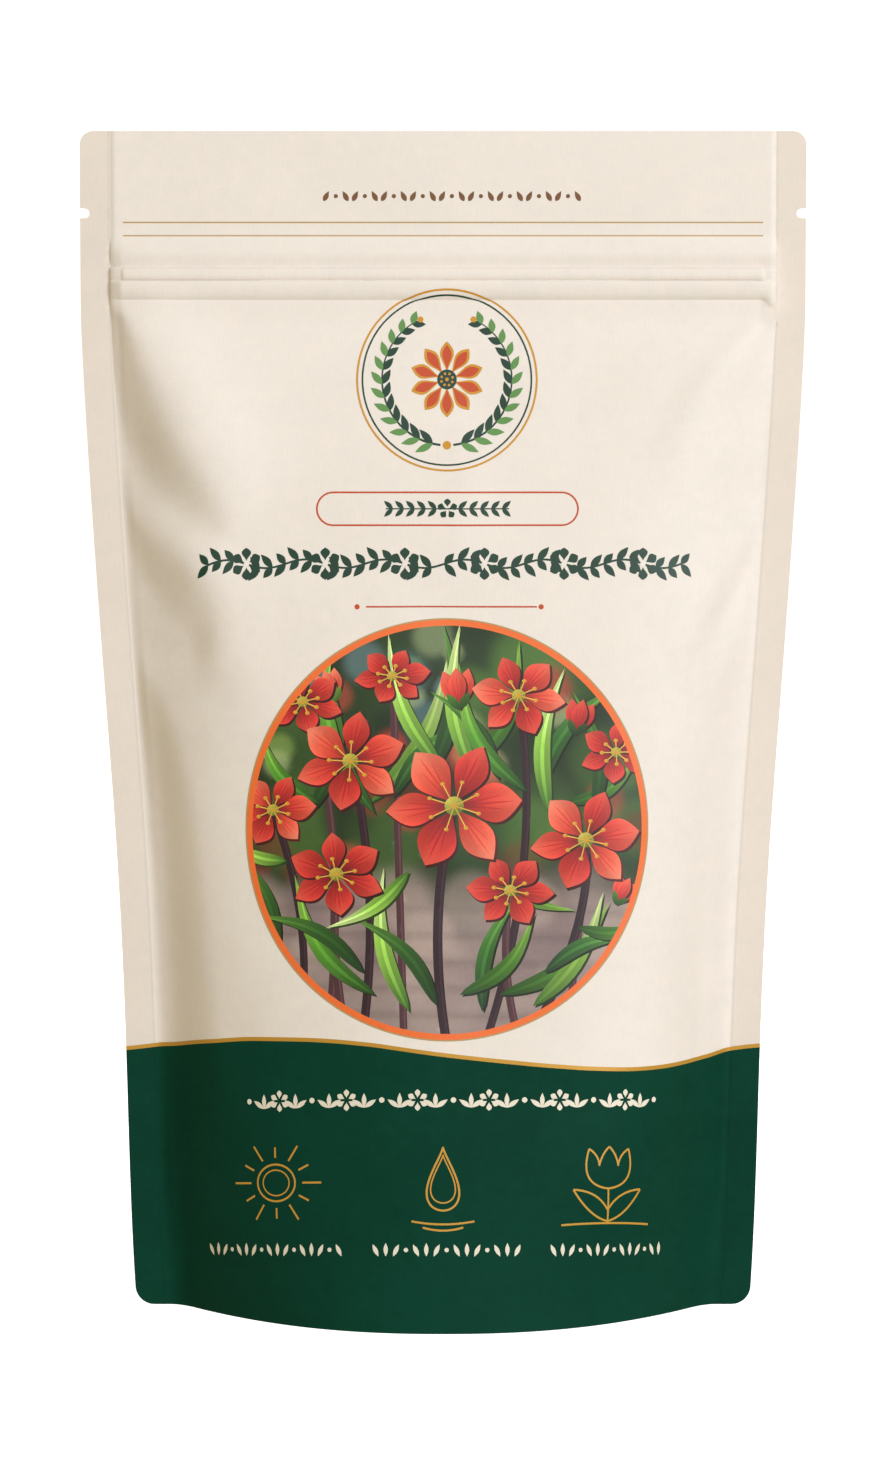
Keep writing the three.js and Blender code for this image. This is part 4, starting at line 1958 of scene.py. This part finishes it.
@dataclass
class FlowerPicture:
    """The round picture: open coral blossoms on curved stems before a blurred garden."""

    middle: Point = (0.71, 89.25)
    radii: Span = (36.2, 37.15)
    ring: float = 1.05
    hem: float = 0.26
    hem_gap: float = 0.14
    seed: int = 11
    petal_shade: Point = (0.3, 0.35)
    petal_belly: float = 0.58
    veins: tuple[Span, ...] = ((0, 0.9), (-9, 0.72), (9, 0.72))
    blade_shade: Point = (0.35, 0.3)
    blade_belly: float = 0.36
    blade_curls: tuple[float, float, float] = (0.14, -0.12, 0.1)
    stamens: int = 8
    stamen_reach: float = 0.4
    buds: tuple[Bud, ...] = (
        ((3, 110.5), 7.5, 96, 0),
        ((23.5, 106), 6.5, 76, 1),
        ((-19, 112), 6, 112, 2),
        ((31, 76), 5.5, 60, 0),
    )
    heads: tuple[Head, ...] = (
        ((-25, 112), 7, 40, 0.75, (-17, 92), (-20, 58), 1),
        ((-9, 116.5), 6.5, 10, 0.7, (-8, 90), (-7, 54), 1),
        ((31, 103), 6.5, 25, 0.8, (25, 84), (23, 60), 1),
        ((13.5, 113), 8, 50, 0.85, (18, 84), (8, 53), 0),
        ((-30.5, 93), 7.5, 5, 0.8, (-24, 76), (-25, 60), 0),
        ((-16.5, 101.5), 9.5, 20, 0.88, (-11, 80), (-14, 55), 0),
        ((25.5, 87.5), 9.5, 10, 0.9, (27, 74), (17, 55), 0),
        ((-19, 81.5), 8.5, 35, 0.82, (-20, 70), (-18, 57), 1),
        ((12, 78.5), 7.5, 55, 0.8, (10, 66), (13, 54), 1),
        ((2, 93.5), 11.5, 5, 0.95, (-3, 74), (0.5, 52.5), 0),
    )
    blades: tuple[Blade, ...] = (
        ((-30, 66), 112, 22, 1), ((-12, 60), 124, 26, 0), ((-14, 64), 152, 22, 1),
        ((-6, 57), 100, 26, 2), ((7, 57), 72, 22, 1), ((10, 60), 40, 26, 0),
        ((16, 58), 58, 24, 2), ((18, 64), 20, 18, 1), ((-1, 58), 134, 22, 1),
        ((3, 60), 48, 20, 0), ((-24, 92), 80, 24, 1), ((-22, 94), 128, 18, 0),
        ((-13, 94), 62, 30, 2), ((-12, 92), 104, 32, 0), ((-9, 95), 42, 20, 1),
        ((-3, 98), 84, 28, 1), ((0, 100), 112, 26, 2), ((3, 99), 66, 26, 0),
        ((6, 98), 96, 28, 2), ((10, 98), 128, 20, 1), ((15, 96), 118, 26, 0),
        ((17, 96), 52, 24, 1), ((19, 92), 84, 26, 2), ((22, 94), 34, 16, 0),
        ((27, 92), 100, 22, 1), ((-28, 84), 160, 12, 2), ((24, 72), 8, 14, 0),
        ((-6, 82), 214, 18, 2), ((8, 84), 330, 18, 0),
    )

    def haze(self) -> Haze:
        """Scatter the blots of the blurred garden behind the flowers.

        Returns:
            The garden.
        """
        rng = np.random.default_rng(self.seed)
        blots = []
        scatter = (
            (46, (86, 128), (3.0, 8.5), (srgb(40, 74, 30), srgb(84, 124, 56), srgb(12, 30, 18))),
            (12, (100, 124), (2.0, 4.0), (srgb(150, 184, 96), srgb(186, 206, 150))),
            (8, (106, 124), (2.5, 5.0), (srgb(120, 150, 160), srgb(84, 118, 128))),
            (20, (82, 116), (2.5, 5.0), (srgb(184, 52, 50), srgb(206, 80, 68), srgb(120, 26, 34))),
            (22, (52, 78), (3.0, 8.0), (srgb(182, 162, 156), srgb(136, 116, 120))),
        )
        for count, levels, sizes, tones in scatter:
            for _ in range(count):
                tone = tones[int(rng.integers(len(tones)))]
                u = float(rng.uniform(-35, 37))
                z = float(rng.uniform(*levels))
                strength = float(rng.uniform(0.3, 0.75))
                blots.append((u, z, float(rng.uniform(*sizes)), tone, strength))
        return Haze(srgb(34, 58, 28), srgb(156, 138, 136), 78.0, tuple(blots))

    def stem(self, layer: Print, line: Outline, width: float, tone: int) -> None:
        """Paint a stem with a lit edge.

        Args:
            layer: The picture.
            line: The stem's points.
            width: Its width.
            tone: The number of its colour.
        """
        lit = scaled(STEM_TONES[tone], 1.9)
        edge = [(u + width * 0.2, z) for u, z in line]
        for colour, points, wide in ((STEM_TONES[tone], line, width), (lit, edge, width * 0.22)):
            layer.add(Paint(line[0], 90, 60, 60, (colour, colour), 0.0), *stroke(points, wide))

    def blade(self, layer: Print, blade: Blade) -> None:
        """Paint a long strappy leaf with a shadow, a lit rib and a dark half.

        Args:
            layer: The picture.
            blade: Where the leaf starts, its angle, its length and the number of its colours.
        """
        start, angle, length, tone = blade
        tones = LEAF_TONES[tone]
        curl = self.blade_curls[tone] * (1 if math.cos(math.radians(angle)) < 0.2 else -1)
        width = 1.7 + length * 0.05
        under = (start[0] + self.blade_shade[0], start[1] - self.blade_shade[1])
        shade = scaled(tones[0], 0.35)
        light = tuple(scaled(colour, 1.6) for colour in tones)
        for root, long, wide, paint in (
            (under, length, width, Paint(start, angle, length, width, (shade, shade), 0.0)),
            (start, length, width, Paint(start, angle, length, width * 2.5, tones, 0.14, 2.0)),
            (start, length * 0.97, width * 0.24, Paint(start, angle, length, width, light, 0.0)),
        ):
            layer.add(paint, leaf(root, angle, long, wide, self.blade_belly, curl, 14))

    def petal(
        self, layer: Print, root: Point, angle: float, size: Span, tones: Sequence[Colour]
    ) -> None:
        """Paint a petal with a shadow and three veins.

        Args:
            layer: The picture.
            root: Where the petal starts.
            angle: Its direction in degrees.
            size: Its length and width.
            tones: Its four colours from the throat to the tip.
        """
        length, width = size
        shade = scaled(tones[0], 0.4)
        belly = self.petal_belly
        under = (root[0] + self.petal_shade[0], root[1] - self.petal_shade[1])
        shadow = leaf(under, angle, length * 1.02, width * 1.02, belly, 0.0, 12)
        layer.add(Paint(root, angle, length, width, (shade, shade), 0.0), shadow)
        outline = leaf(root, angle, length, width, belly, 0.0, 14)
        layer.add(Paint(root, angle, length, width, tuple(tones), 0.12, 2.0), outline)
        deep = (tones[0], tones[1], tones[1])
        for lean, reach in self.veins:
            vein = leaf(root, angle + lean, length * reach, width * 0.07, 0.4, 0.0, 8)
            layer.add(Paint(root, angle, length, width, deep, 0.0), vein)

    def flower(self, layer: Print, head: Head) -> None:
        """Paint an open six-petalled blossom with its throat and eight stamens.

        Args:
            layer: The picture.
            head: Its middle, petal length, first petal's angle and flatness, the two points that
                its stem's curve is drawn by, and the number of its colours.
        """
        at, size, tilt, squash, _, _, tone = head
        for k in sorted(range(6), key=lambda k: (k % 2 == 0, k)):
            a = math.radians(tilt + 60 * k)
            du, dz = math.cos(a), math.sin(a) * squash
            seen = math.degrees(math.atan2(dz, du))
            width = size * (0.52 if k % 2 else 0.62) * (0.75 + 0.25 * squash)
            root = (at[0] + du * size * 0.06, at[1] + dz * size * 0.06)
            lift = 1 if tone else (0, 1, 2)[k % 3]
            self.petal(layer, root, seen, (size * math.hypot(du, dz), width), PETAL_REDS[lift])
        throat = arc(at, (size * 0.15, size * 0.15 * (0.5 + 0.5 * squash)), count=16)
        green = (srgb(110, 128, 44), srgb(190, 190, 80))
        layer.add(Paint((at[0], at[1] - 1), 90, 2, 2, green, 0.0), throat)
        gold = (srgb(214, 160, 50), srgb(246, 208, 96))
        reach = self.stamen_reach
        for k in range(self.stamens):
            angle = tilt + 22 + 360 / self.stamens * k
            a = math.radians(angle)
            end = (at[0] + math.cos(a) * size * reach, at[1] + math.sin(a) * size * reach * squash)
            thread = stroke([at, ((at[0] + end[0]) / 2, (at[1] + end[1]) / 2), end], 0.2)
            layer.add(Paint(at, angle, size * reach, 1, gold, 0.0), *thread)
            dot = arc(end, (0.42, 0.34), count=8)
            layer.add(Paint(end, 90, 1, 1, gold, 0.0), dot)

    def bud(self, layer: Print, bud: Bud) -> None:
        """Paint a closed bud with green leaves round its foot.

        Args:
            layer: The picture.
            bud: Where the bud starts, its length, its angle and the number of its colours.
        """
        at, size, angle, tone = bud
        for lean in (-18, 18, 0):
            tones = PETAL_REDS[(tone + lean) % 3]
            self.petal(layer, at, angle + lean, (size, size * 0.42), tones)
        for lean in (-34, 34):
            outline = leaf(at, angle + lean, size * 0.5, size * 0.2, 0.45, 0.0, 8)
            layer.add(Paint(at, angle, size, size * 0.3, LEAF_TONES[tone], 0.1), outline)

    def print(self) -> Print:
        """Draw the picture.

        Returns:
            The printed layer.
        """
        layer = Print("flower_picture", pitch=0.85, framed=True)
        edge = arc(self.middle, tuple(r - self.ring / 2 for r in self.radii), count=160)
        layer.add(self.haze(), edge)
        for head, size, _, _, through, foot, tone in self.heads:
            self.stem(layer, curve(foot, through, head, 22), 0.9 + size * 0.07, tone)
        for blade in self.blades:
            self.blade(layer, blade)
        for bud in self.buds:
            self.bud(layer, bud)
        for head in self.heads:
            self.flower(layer, head)
        layer.add(Ink.ORANGE, *stroke(edge, self.ring, closed=True))
        hem = arc(self.middle, tuple(r + self.hem_gap for r in self.radii), count=160)
        layer.add(Ink.FINE_GOLD, *stroke(hem, self.hem, closed=True))
        return layer


@dataclass
class GreenBand:
    """The ornaments on the green band: a cream row, three gold line drawings, dotted rows."""

    row_level: float = 41.45
    row: Span = (-36.3, 40.0)
    caption_level: float = 14.9
    row_count: int = 24
    captions: tuple[Span, ...] = ((-47.0, -18.8), (-12.0, 13.3), (20.0, 42.8))
    caption_step: float = 1.75
    line: float = 0.36
    thin: float = 0.7

    def leaf_row(self) -> Print:
        """Draw the cream row of leaves and dots.

        Returns:
            The printed layer.
        """
        layer = Print("cream_leaf_row")
        left, right = self.row
        z = self.row_level
        for i in range(self.row_count + 1):
            u = left + (right - left) * i / self.row_count
            if i % 4 == 2:
                layer.add(Ink.PALE, *blossom((u, z), 1.85, 6, 1.0))
            elif i % 2 == 1:
                for angle in (34, 90, 146):
                    layer.add(Ink.PALE, leaf((u, z - 1.35), angle, 2.6, 0.85, 0.5, count=7))
            else:
                layer.add(Ink.PALE, disc((u, z), 0.5, 12))
        return layer

    def caption_rows(self) -> Print:
        """Draw the three short rows under the drawings.

        Returns:
            The printed layer.
        """
        layer = Print("cream_caption_rows")
        z = self.caption_level
        for left, right in self.captions:
            count = int((right - left) / self.caption_step)
            for i in range(count + 1):
                u = left + (right - left) * i / count
                if i % 4 == 3:
                    layer.add(Ink.PALE, disc((u, z), 0.4, 10))
                else:
                    lean = 90 + 26 * (1 - i % 4)
                    root = (u - 1.15 * math.cos(math.radians(lean)), z - 1.15)
                    layer.add(Ink.PALE, leaf(root, lean, 2.4, 0.8, 0.5, count=7))
        return layer

    def sun(self, middle: Point, wide: float) -> list[Outline]:
        """Draw a sun with rays.

        Args:
            middle: Its middle.
            wide: How much wider than high it is.

        Returns:
            The outlines.
        """
        u, z = middle
        outlines = []
        for radius, count, share in ((3.3, 40, 1.0), (2.3, 32, self.thin)):
            circle = arc(middle, (radius * wide, radius), count=count)
            outlines += stroke(circle, self.line * share, closed=True)
        for i in range(12):
            a = math.radians(30 * i)
            steps = np.linspace(4.5, 7.6 if i % 2 == 0 else 6.4, 4)
            ray = [(u + wide * r * math.cos(a), z + r * math.sin(a)) for r in steps]
            outlines += stroke(ray, self.line)
        return outlines

    def drop(self, middle: Point, wide: float) -> list[Outline]:
        """Draw a watering drop over two ripples.

        Args:
            middle: Its middle.
            wide: How much wider than high it is.

        Returns:
            The outlines.
        """
        u, z = middle
        outlines = []
        for scale, share in ((1.0, 1.0), (0.76, self.thin)):
            points = []
            for t in np.linspace(0, 2 * math.pi, 49)[:-1]:
                across = 4.2 * math.sin(t) * math.sin(t / 2) ** 1.6
                points.append((u + wide * scale * across, z + 0.6 + scale * 5.6 * math.cos(t)))
            outlines += stroke(points, self.line * share, closed=True)
        for reach, low in ((5.6, -6.9), (3.6, -8.0)):
            start, end = ((u + way * wide * reach, z + low) for way in (-1, 1))
            outlines += stroke(curve(start, (u, z + low - 1.1), end), self.line)
        return outlines

    def tulip(self, middle: Point, wide: float) -> list[Outline]:
        """Draw a cup-shaped bloom with two leaves on a line of soil.

        Args:
            middle: Its middle.
            wide: How much wider than high it is.

        Returns:
            The outlines.
        """
        u, z = middle
        outlines = []

        def line(*points: Point) -> None:
            """Draw one curve through three local points."""
            placed = [(u + wide * a, z + b) for a, b in points]
            outlines.extend(stroke(curve(*placed, count=18), self.line))

        for side in (-1, 1):
            line((0, -0.4), (side * 5.4, 0.2), (side * 3.6, 6.6))
            line((side * 3.6, 6.6), (side * 1.9, 5.6), (side * 1.7, 3.6))
            line((side * 1.7, 3.9), (side * 1.2, 5.9), (0, 7.0))
            line((0, -6.2), (side * 3.4, -5.4), (side * 6.2, -0.6))
            line((side * 6.2, -0.6), (side * 1.9, -0.8), (0, -4.2))
        line((0, -0.4), (0.15, -3.2), (0, -6.6))
        line((-8.2, -6.9), (0, -6.2), (8.2, -6.9))
        return outlines

    def drawings(self) -> Print:
        """Draw the sun, the drop and the tulip.

        Returns:
            The printed layer.
        """
        layer = Print("gold_line_drawings")
        layer.add(Ink.GOLD, *self.sun((-31.1, 26.9), 1.2))
        layer.add(Ink.GOLD, *self.drop((0.0, 26.9), 1.0))
        layer.add(Ink.GOLD, *self.tulip((30.6, 26.2), 1.12))
        return layer


@dataclass
class BackGuide:
    """The back panel's guide: a thin rounded frame with a daisy and blank ruled lines."""

    half: float = 38.0
    low: float = 62.0
    high: float = 150.0
    corner: float = 5.0
    line: float = 0.32
    rules: int = 9
    above: float = 14.0
    below: float = 10.0
    daisy: float = 163.0

    def print(self) -> Print:
        """Draw the guide.

        Returns:
            The printed layer.
        """
        layer = Print("back_guide_frame", pitch=3.0)
        ring: Outline = []
        turns = ((1, 1, 0.0), (-1, 1, 90.0), (-1, -1, 180.0), (1, -1, 270.0))
        middle = (self.low + self.high) / 2
        tall = (self.high - self.low) / 2 - self.corner
        wide = self.half - self.corner
        for right, up, start in turns:
            centre = (right * wide, middle + up * tall)
            ring += arc(centre, (self.corner, self.corner), (start, start + 90), 10)
            ahead = ring[-1]
            along = (-2 * wide * up, 0.0) if start % 180 == 0 else (0.0, 2 * tall * right)
            steps = np.linspace(0, 1, 24)[1:-1]
            ring += [(ahead[0] + along[0] * t, ahead[1] + along[1] * t) for t in steps]
        layer.add(Ink.RUST, *stroke(ring, self.line, closed=True))
        for level in np.linspace(self.high - self.above, self.low + self.below, self.rules):
            rule = [(float(u), float(level)) for u in np.linspace(-wide, wide, 40)]
            layer.add(Ink.BROWN, *stroke(rule, self.line * 0.6))
        centre = (0.0, self.daisy)
        layer.add(Ink.DEEP_GREEN, *blossom(centre, 6.0, 9, 2.6))
        layer.add(Ink.EMBLEM_GOLD, disc(centre, 1.5, 20))
        for way in (-1, 1):
            stem = [(way * u, self.daisy) for u in np.linspace(8, 26, 24)]
            layer.add(Ink.RUST, *stroke(stem, self.line))
        return layer


# Studio


@dataclass
class Studio:
    """The camera, the soft lights and the pale floor, in metres."""

    distance: float = 1.2
    elevation: float = 6.4
    aim_height: float = 0.10495
    lens: float = 163.49
    sensor: float = 36.0
    clip: Span = (0.05, 30.0)
    lit_height: float = 0.11
    lamp_colour: Colour = (0.845, 0.908, 1.0)
    air: Colour = (1.0, 0.835, 0.52)
    air_strength: float = 0.45
    floor_reach: float = 2.0
    floor_bend: float = 0.8
    floor_bend_steps: int = 12
    wall_height: float = 4.0
    sides: int = 64
    glow: float = 0.9

    def put(self, name: str, data: bpy.types.ID, at: Vector, target: Vector) -> Piece:
        """Put a camera or light in its place, turned towards a target.

        Args:
            name: Its name.
            data: Its settings.
            at: Its place.
            target: The target.

        Returns:
            The camera or light.
        """
        thing = bpy.data.objects.new(name, data)
        thing.location = at
        thing.rotation_euler = (target - thing.location).to_track_quat("-Z", "Y").to_euler()
        bpy.context.scene.collection.objects.link(thing)
        return thing

    def camera(self) -> None:
        """Place the camera and make it the scene's own."""
        data = bpy.data.cameras.new("camera")
        data.sensor_fit = "VERTICAL"
        data.sensor_height = self.sensor
        data.lens = self.lens
        data.clip_start, data.clip_end = self.clip
        target = Vector((0, 0, self.aim_height))
        angle = math.radians(self.elevation)
        at = target + Vector((0, -math.cos(angle), math.sin(angle))) * self.distance
        bpy.context.scene.camera = self.put("camera", data, at, target)

    def lamp(self, name: str, at: Vector, size: float, power: float) -> None:
        """Place a square soft light that faces the pouch.

        Args:
            name: Its name.
            at: Its place.
            size: Its side.
            power: Its power.
        """
        data = bpy.data.lights.new(name, "AREA")
        data.shape = "SQUARE"
        data.size = size
        data.energy = power
        data.color = self.lamp_colour
        self.put(name, data, at, Vector((0, 0, self.lit_height)))

    def lights(self) -> None:
        """Place the lights and the pale surroundings."""
        self.lamp("key_light", Vector((0.83, -1.36, 0.7)), 0.96, 23.4)
        self.lamp("back_light", Vector((-0.5, 0.75, 0.55)), 0.6, 6.0)
        world = bpy.data.worlds.new("studio")
        world.use_nodes = True
        back = world.node_tree.nodes["Background"]
        back.inputs["Color"].default_value = (*self.air, 1.0)
        back.inputs["Strength"].default_value = self.air_strength
        bpy.context.scene.world = world
        bpy.context.scene.view_settings.view_transform = "Standard"

    def floor_finish(self) -> Material:
        """Make the floor's pale paper, which glows a little.

        Returns:
            The material.
        """
        sheet = Sheet("floor_paper")
        grain = sheet.noise(sheet.place(), 30.0, 2.0)
        return sheet.finish(
            Base_Color=sheet.tint((0.92, 0.92, 0.92), 0.99 + grain * 0.02),
            Roughness=0.9,
            Emission_Color=WHITE,
            Emission_Strength=self.glow,
        )

    def floor(self) -> Piece:
        """Lay the floor, a wide pale disc whose edge curves up into a wall all round.

        Returns:
            The floor.
        """
        reach, bend = self.floor_reach, self.floor_bend
        profile = [(0.4, 0.0), (1.2, 0.0), (reach, 0.0)]
        for i in range(1, self.floor_bend_steps + 1):
            angle = i / self.floor_bend_steps * math.pi / 2
            profile.append((reach + bend * math.sin(angle), bend * (1 - math.cos(angle))))
        profile.append((reach + bend, self.wall_height))
        sides = self.sides
        turn = np.linspace(0, 2 * math.pi, sides, endpoint=False)
        rings = [
            np.stack([r * np.cos(turn), r * np.sin(turn), np.full(sides, z)], -1)
            for r, z in profile
        ]
        here = np.arange(sides)
        there = (here + 1) % sides
        body = Body("studio_floor")
        points = np.concatenate([[[0.0, 0.0, 0.0]], *rings]) / MM
        faces = np.stack([np.zeros(sides, int), 1 + here, 1 + there], -1)
        body.add(points, faces, np.zeros(sides))
        for low in range(1, 1 + (len(rings) - 1) * sides, sides):
            quads = np.stack([low + here, low + sides + here, low + sides + there, low + there], -1)
            body.add(np.zeros((0, 3)), quads - body.count, np.zeros(sides))
        floor = body.make([self.floor_finish()])
        floor.visible_diffuse = False
        floor.visible_glossy = False
        floor.visible_shadow = False
        return floor


FLANKS = {
    Side.FRONT: (
        Flank(slopes=(0.5, 0.35, 0.5, 0.4), fillet=0.07, sharpness=3.0),
        Flank(sharpness=3.0),
    ),
    Side.BACK: (Flank(), Flank()),
}
FRONT_SHOULDER = Fold(
    (
        (-58.8, 182, 0, 1.2), (-58.2, 179.8, 0.8, 2.8), (-57.4, 177.2, 1.2, 4.4),
        (-56.5, 169.5, 2, 8), (-55, 162, 2.7, 11.5), (-51.5, 155, 3.1, 12),
        (-47.5, 150, 2.9, 12), (-44, 146.5, 2.3, 9), (-41, 143.5, 1.6, 7.5),
        (-38, 140, 0, 4),
    ),
    11,
)
FRONT_ELBOW = Fold(
    (
        (-59, 145, 0.4, 3), (-57.5, 142, 1.3, 5), (-55, 137, 2, 9),
        (-50.5, 132.5, 2.3, 10.5), (-46, 128.5, 2.2, 12), (-44, 126, 1.4, 8),
        (-43, 121, 1.2, 6), (-45, 113, 0, 6.5),
    ),
    7,
)
FRONT_HIP = Fold(
    (
        (-59.8, 118, 0.4, 2), (-58.9, 114, 1.1, 6), (-57, 109, 2.4, 11),
        (-55, 103, 3.3, 13), (-53, 91, 3.9, 15), (-51.5, 70, 3.7, 16),
        (-51, 47, 3.4, 17), (-53, 30, 2.8, 17), (-58, 14, 0, 12),
    ),
    18,
)
RIGHT_RIDGE = Fold(
    (
        (43, 117, 0, 4), (48, 123.5, 1, 5), (53, 131.5, 1.2, 5),
        (58, 139, 0.8, 4),
    ),
    5,
)
RIGHT_VALLEY = Fold(
    (
        (58, 136, 0.5, 3), (55, 127, 1, 4.5), (51.5, 118.5, 0.9, 4.5),
        (48, 111, 0, 4),
    ),
    6,
)
RIGHT_CORNER = Fold(
    (
        (56.8, 179.5, 0.5, 3), (51.5, 174.8, 1, 5), (46, 170.1, 1, 6),
        (40, 160, 0.6, 6), (36, 153, 0, 6),
    ),
    4.5,
)
BACK_SHOULDER = Fold(
    (
        (38, 140, 0, 5), (45, 148, 1.4, 9), (52, 156, 1.7, 10),
        (56.5, 168, 1.2, 7), (58, 179, 0, 2),
    ),
    10,
)
BACK_ELBOW = Fold(
    (
        (-58.5, 150, 0, 2), (-56, 142, 1, 5), (-51, 134, 1.4, 9),
        (-45, 128, 1, 8), (-41, 121, 0, 5),
    ),
    8,
)
FOLDS = {
    Side.FRONT: (
        FRONT_SHOULDER,
        FRONT_ELBOW,
        FRONT_HIP,
        Fold(((-46.9, 131.1, 0, 3), (-44, 133, 0.6, 4), (-37, 135.5, 0, 5)), 6),
        RIGHT_RIDGE,
        RIGHT_VALLEY,
        RIGHT_CORNER,
        Fold(((50.5, 100, 0, 5), (52.5, 80, 0.7, 5), (53.5, 25, 0.6, 5)), 3),
    ),
    Side.BACK: (BACK_SHOULDER, BACK_ELBOW),
}
DENTS = {Side.FRONT: Dents(3), Side.BACK: Dents(8)}
WAVE = WaveLine(
    knots=(
        (-65, 47.1), (-60, 47.7), (-55, 48.3), (-48, 49.5), (-42, 50.3), (-36, 51),
        (-30, 51.3), (-24, 51.5), (-18, 51.4), (-12, 51), (-6, 50.2), (2, 49.2),
        (9, 48.4), (17, 47.6), (25, 46.9), (35, 46.3), (43, 46.1), (50, 46.2),
        (56, 46.5), (62, 47.4), (65, 47.7),
    )
)


def carry(piece: Piece, slot: str, *nodes: str) -> None:
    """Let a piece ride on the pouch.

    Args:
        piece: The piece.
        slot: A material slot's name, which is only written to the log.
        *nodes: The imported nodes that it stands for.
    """
    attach(piece, "root")
    if nodes:
        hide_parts(*nodes)
    LOG.info("%s: %d faces, slot %s", piece.name, len(piece.data.polygons), slot)


def main() -> None:
    """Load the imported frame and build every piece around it."""
    logging.basicConfig(level=logging.INFO, format="%(name)s: %(message)s")
    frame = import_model()
    form = PouchForm(flanks=FLANKS, folds=FOLDS, dents=DENTS)
    front = FilmPanel(form, Side.FRONT, "front_panel_film", WAVE).build()
    carry(front, "front_film", "front_panel")
    back = FilmPanel(form, Side.BACK, "back_panel_film", WAVE).build()
    carry(back, "back_film", "back_panel")
    gusset = Gusset(form).build()
    carry(gusset, "gusset_film", "bottom_gusset")
    band = GreenBand()
    designs = (HeaderRow(), Emblem(), Pill(), Garland(), Divider(), FlowerPicture())
    rows = (band.leaf_row(), band.drawings(), band.caption_rows())
    for layer in (*(design.print() for design in designs), *rows):
        carry(layer.lay(form), "front_film")
    carry(BackGuide().print().lay(form, Side.BACK), "back_film")
    plastic = PlainFinish("zip_plastic", srgb(236, 236, 230), 0.32, 500.0).make()
    dressed = (("zip_rib_strip", plastic), ("zip_groove_strip", plastic))
    for node, finish in (*dressed, ("seed_scoop", SeedFinish().make())):
        mesh = frame["nodes"][node].data
        mesh.materials.clear()
        mesh.materials.append(finish)
        LOG.info("%s: carried over with finish %s", node, finish.name)
    studio = Studio()
    studio.camera()
    studio.lights()
    studio.floor()


if __name__ == "__main__":
    main()
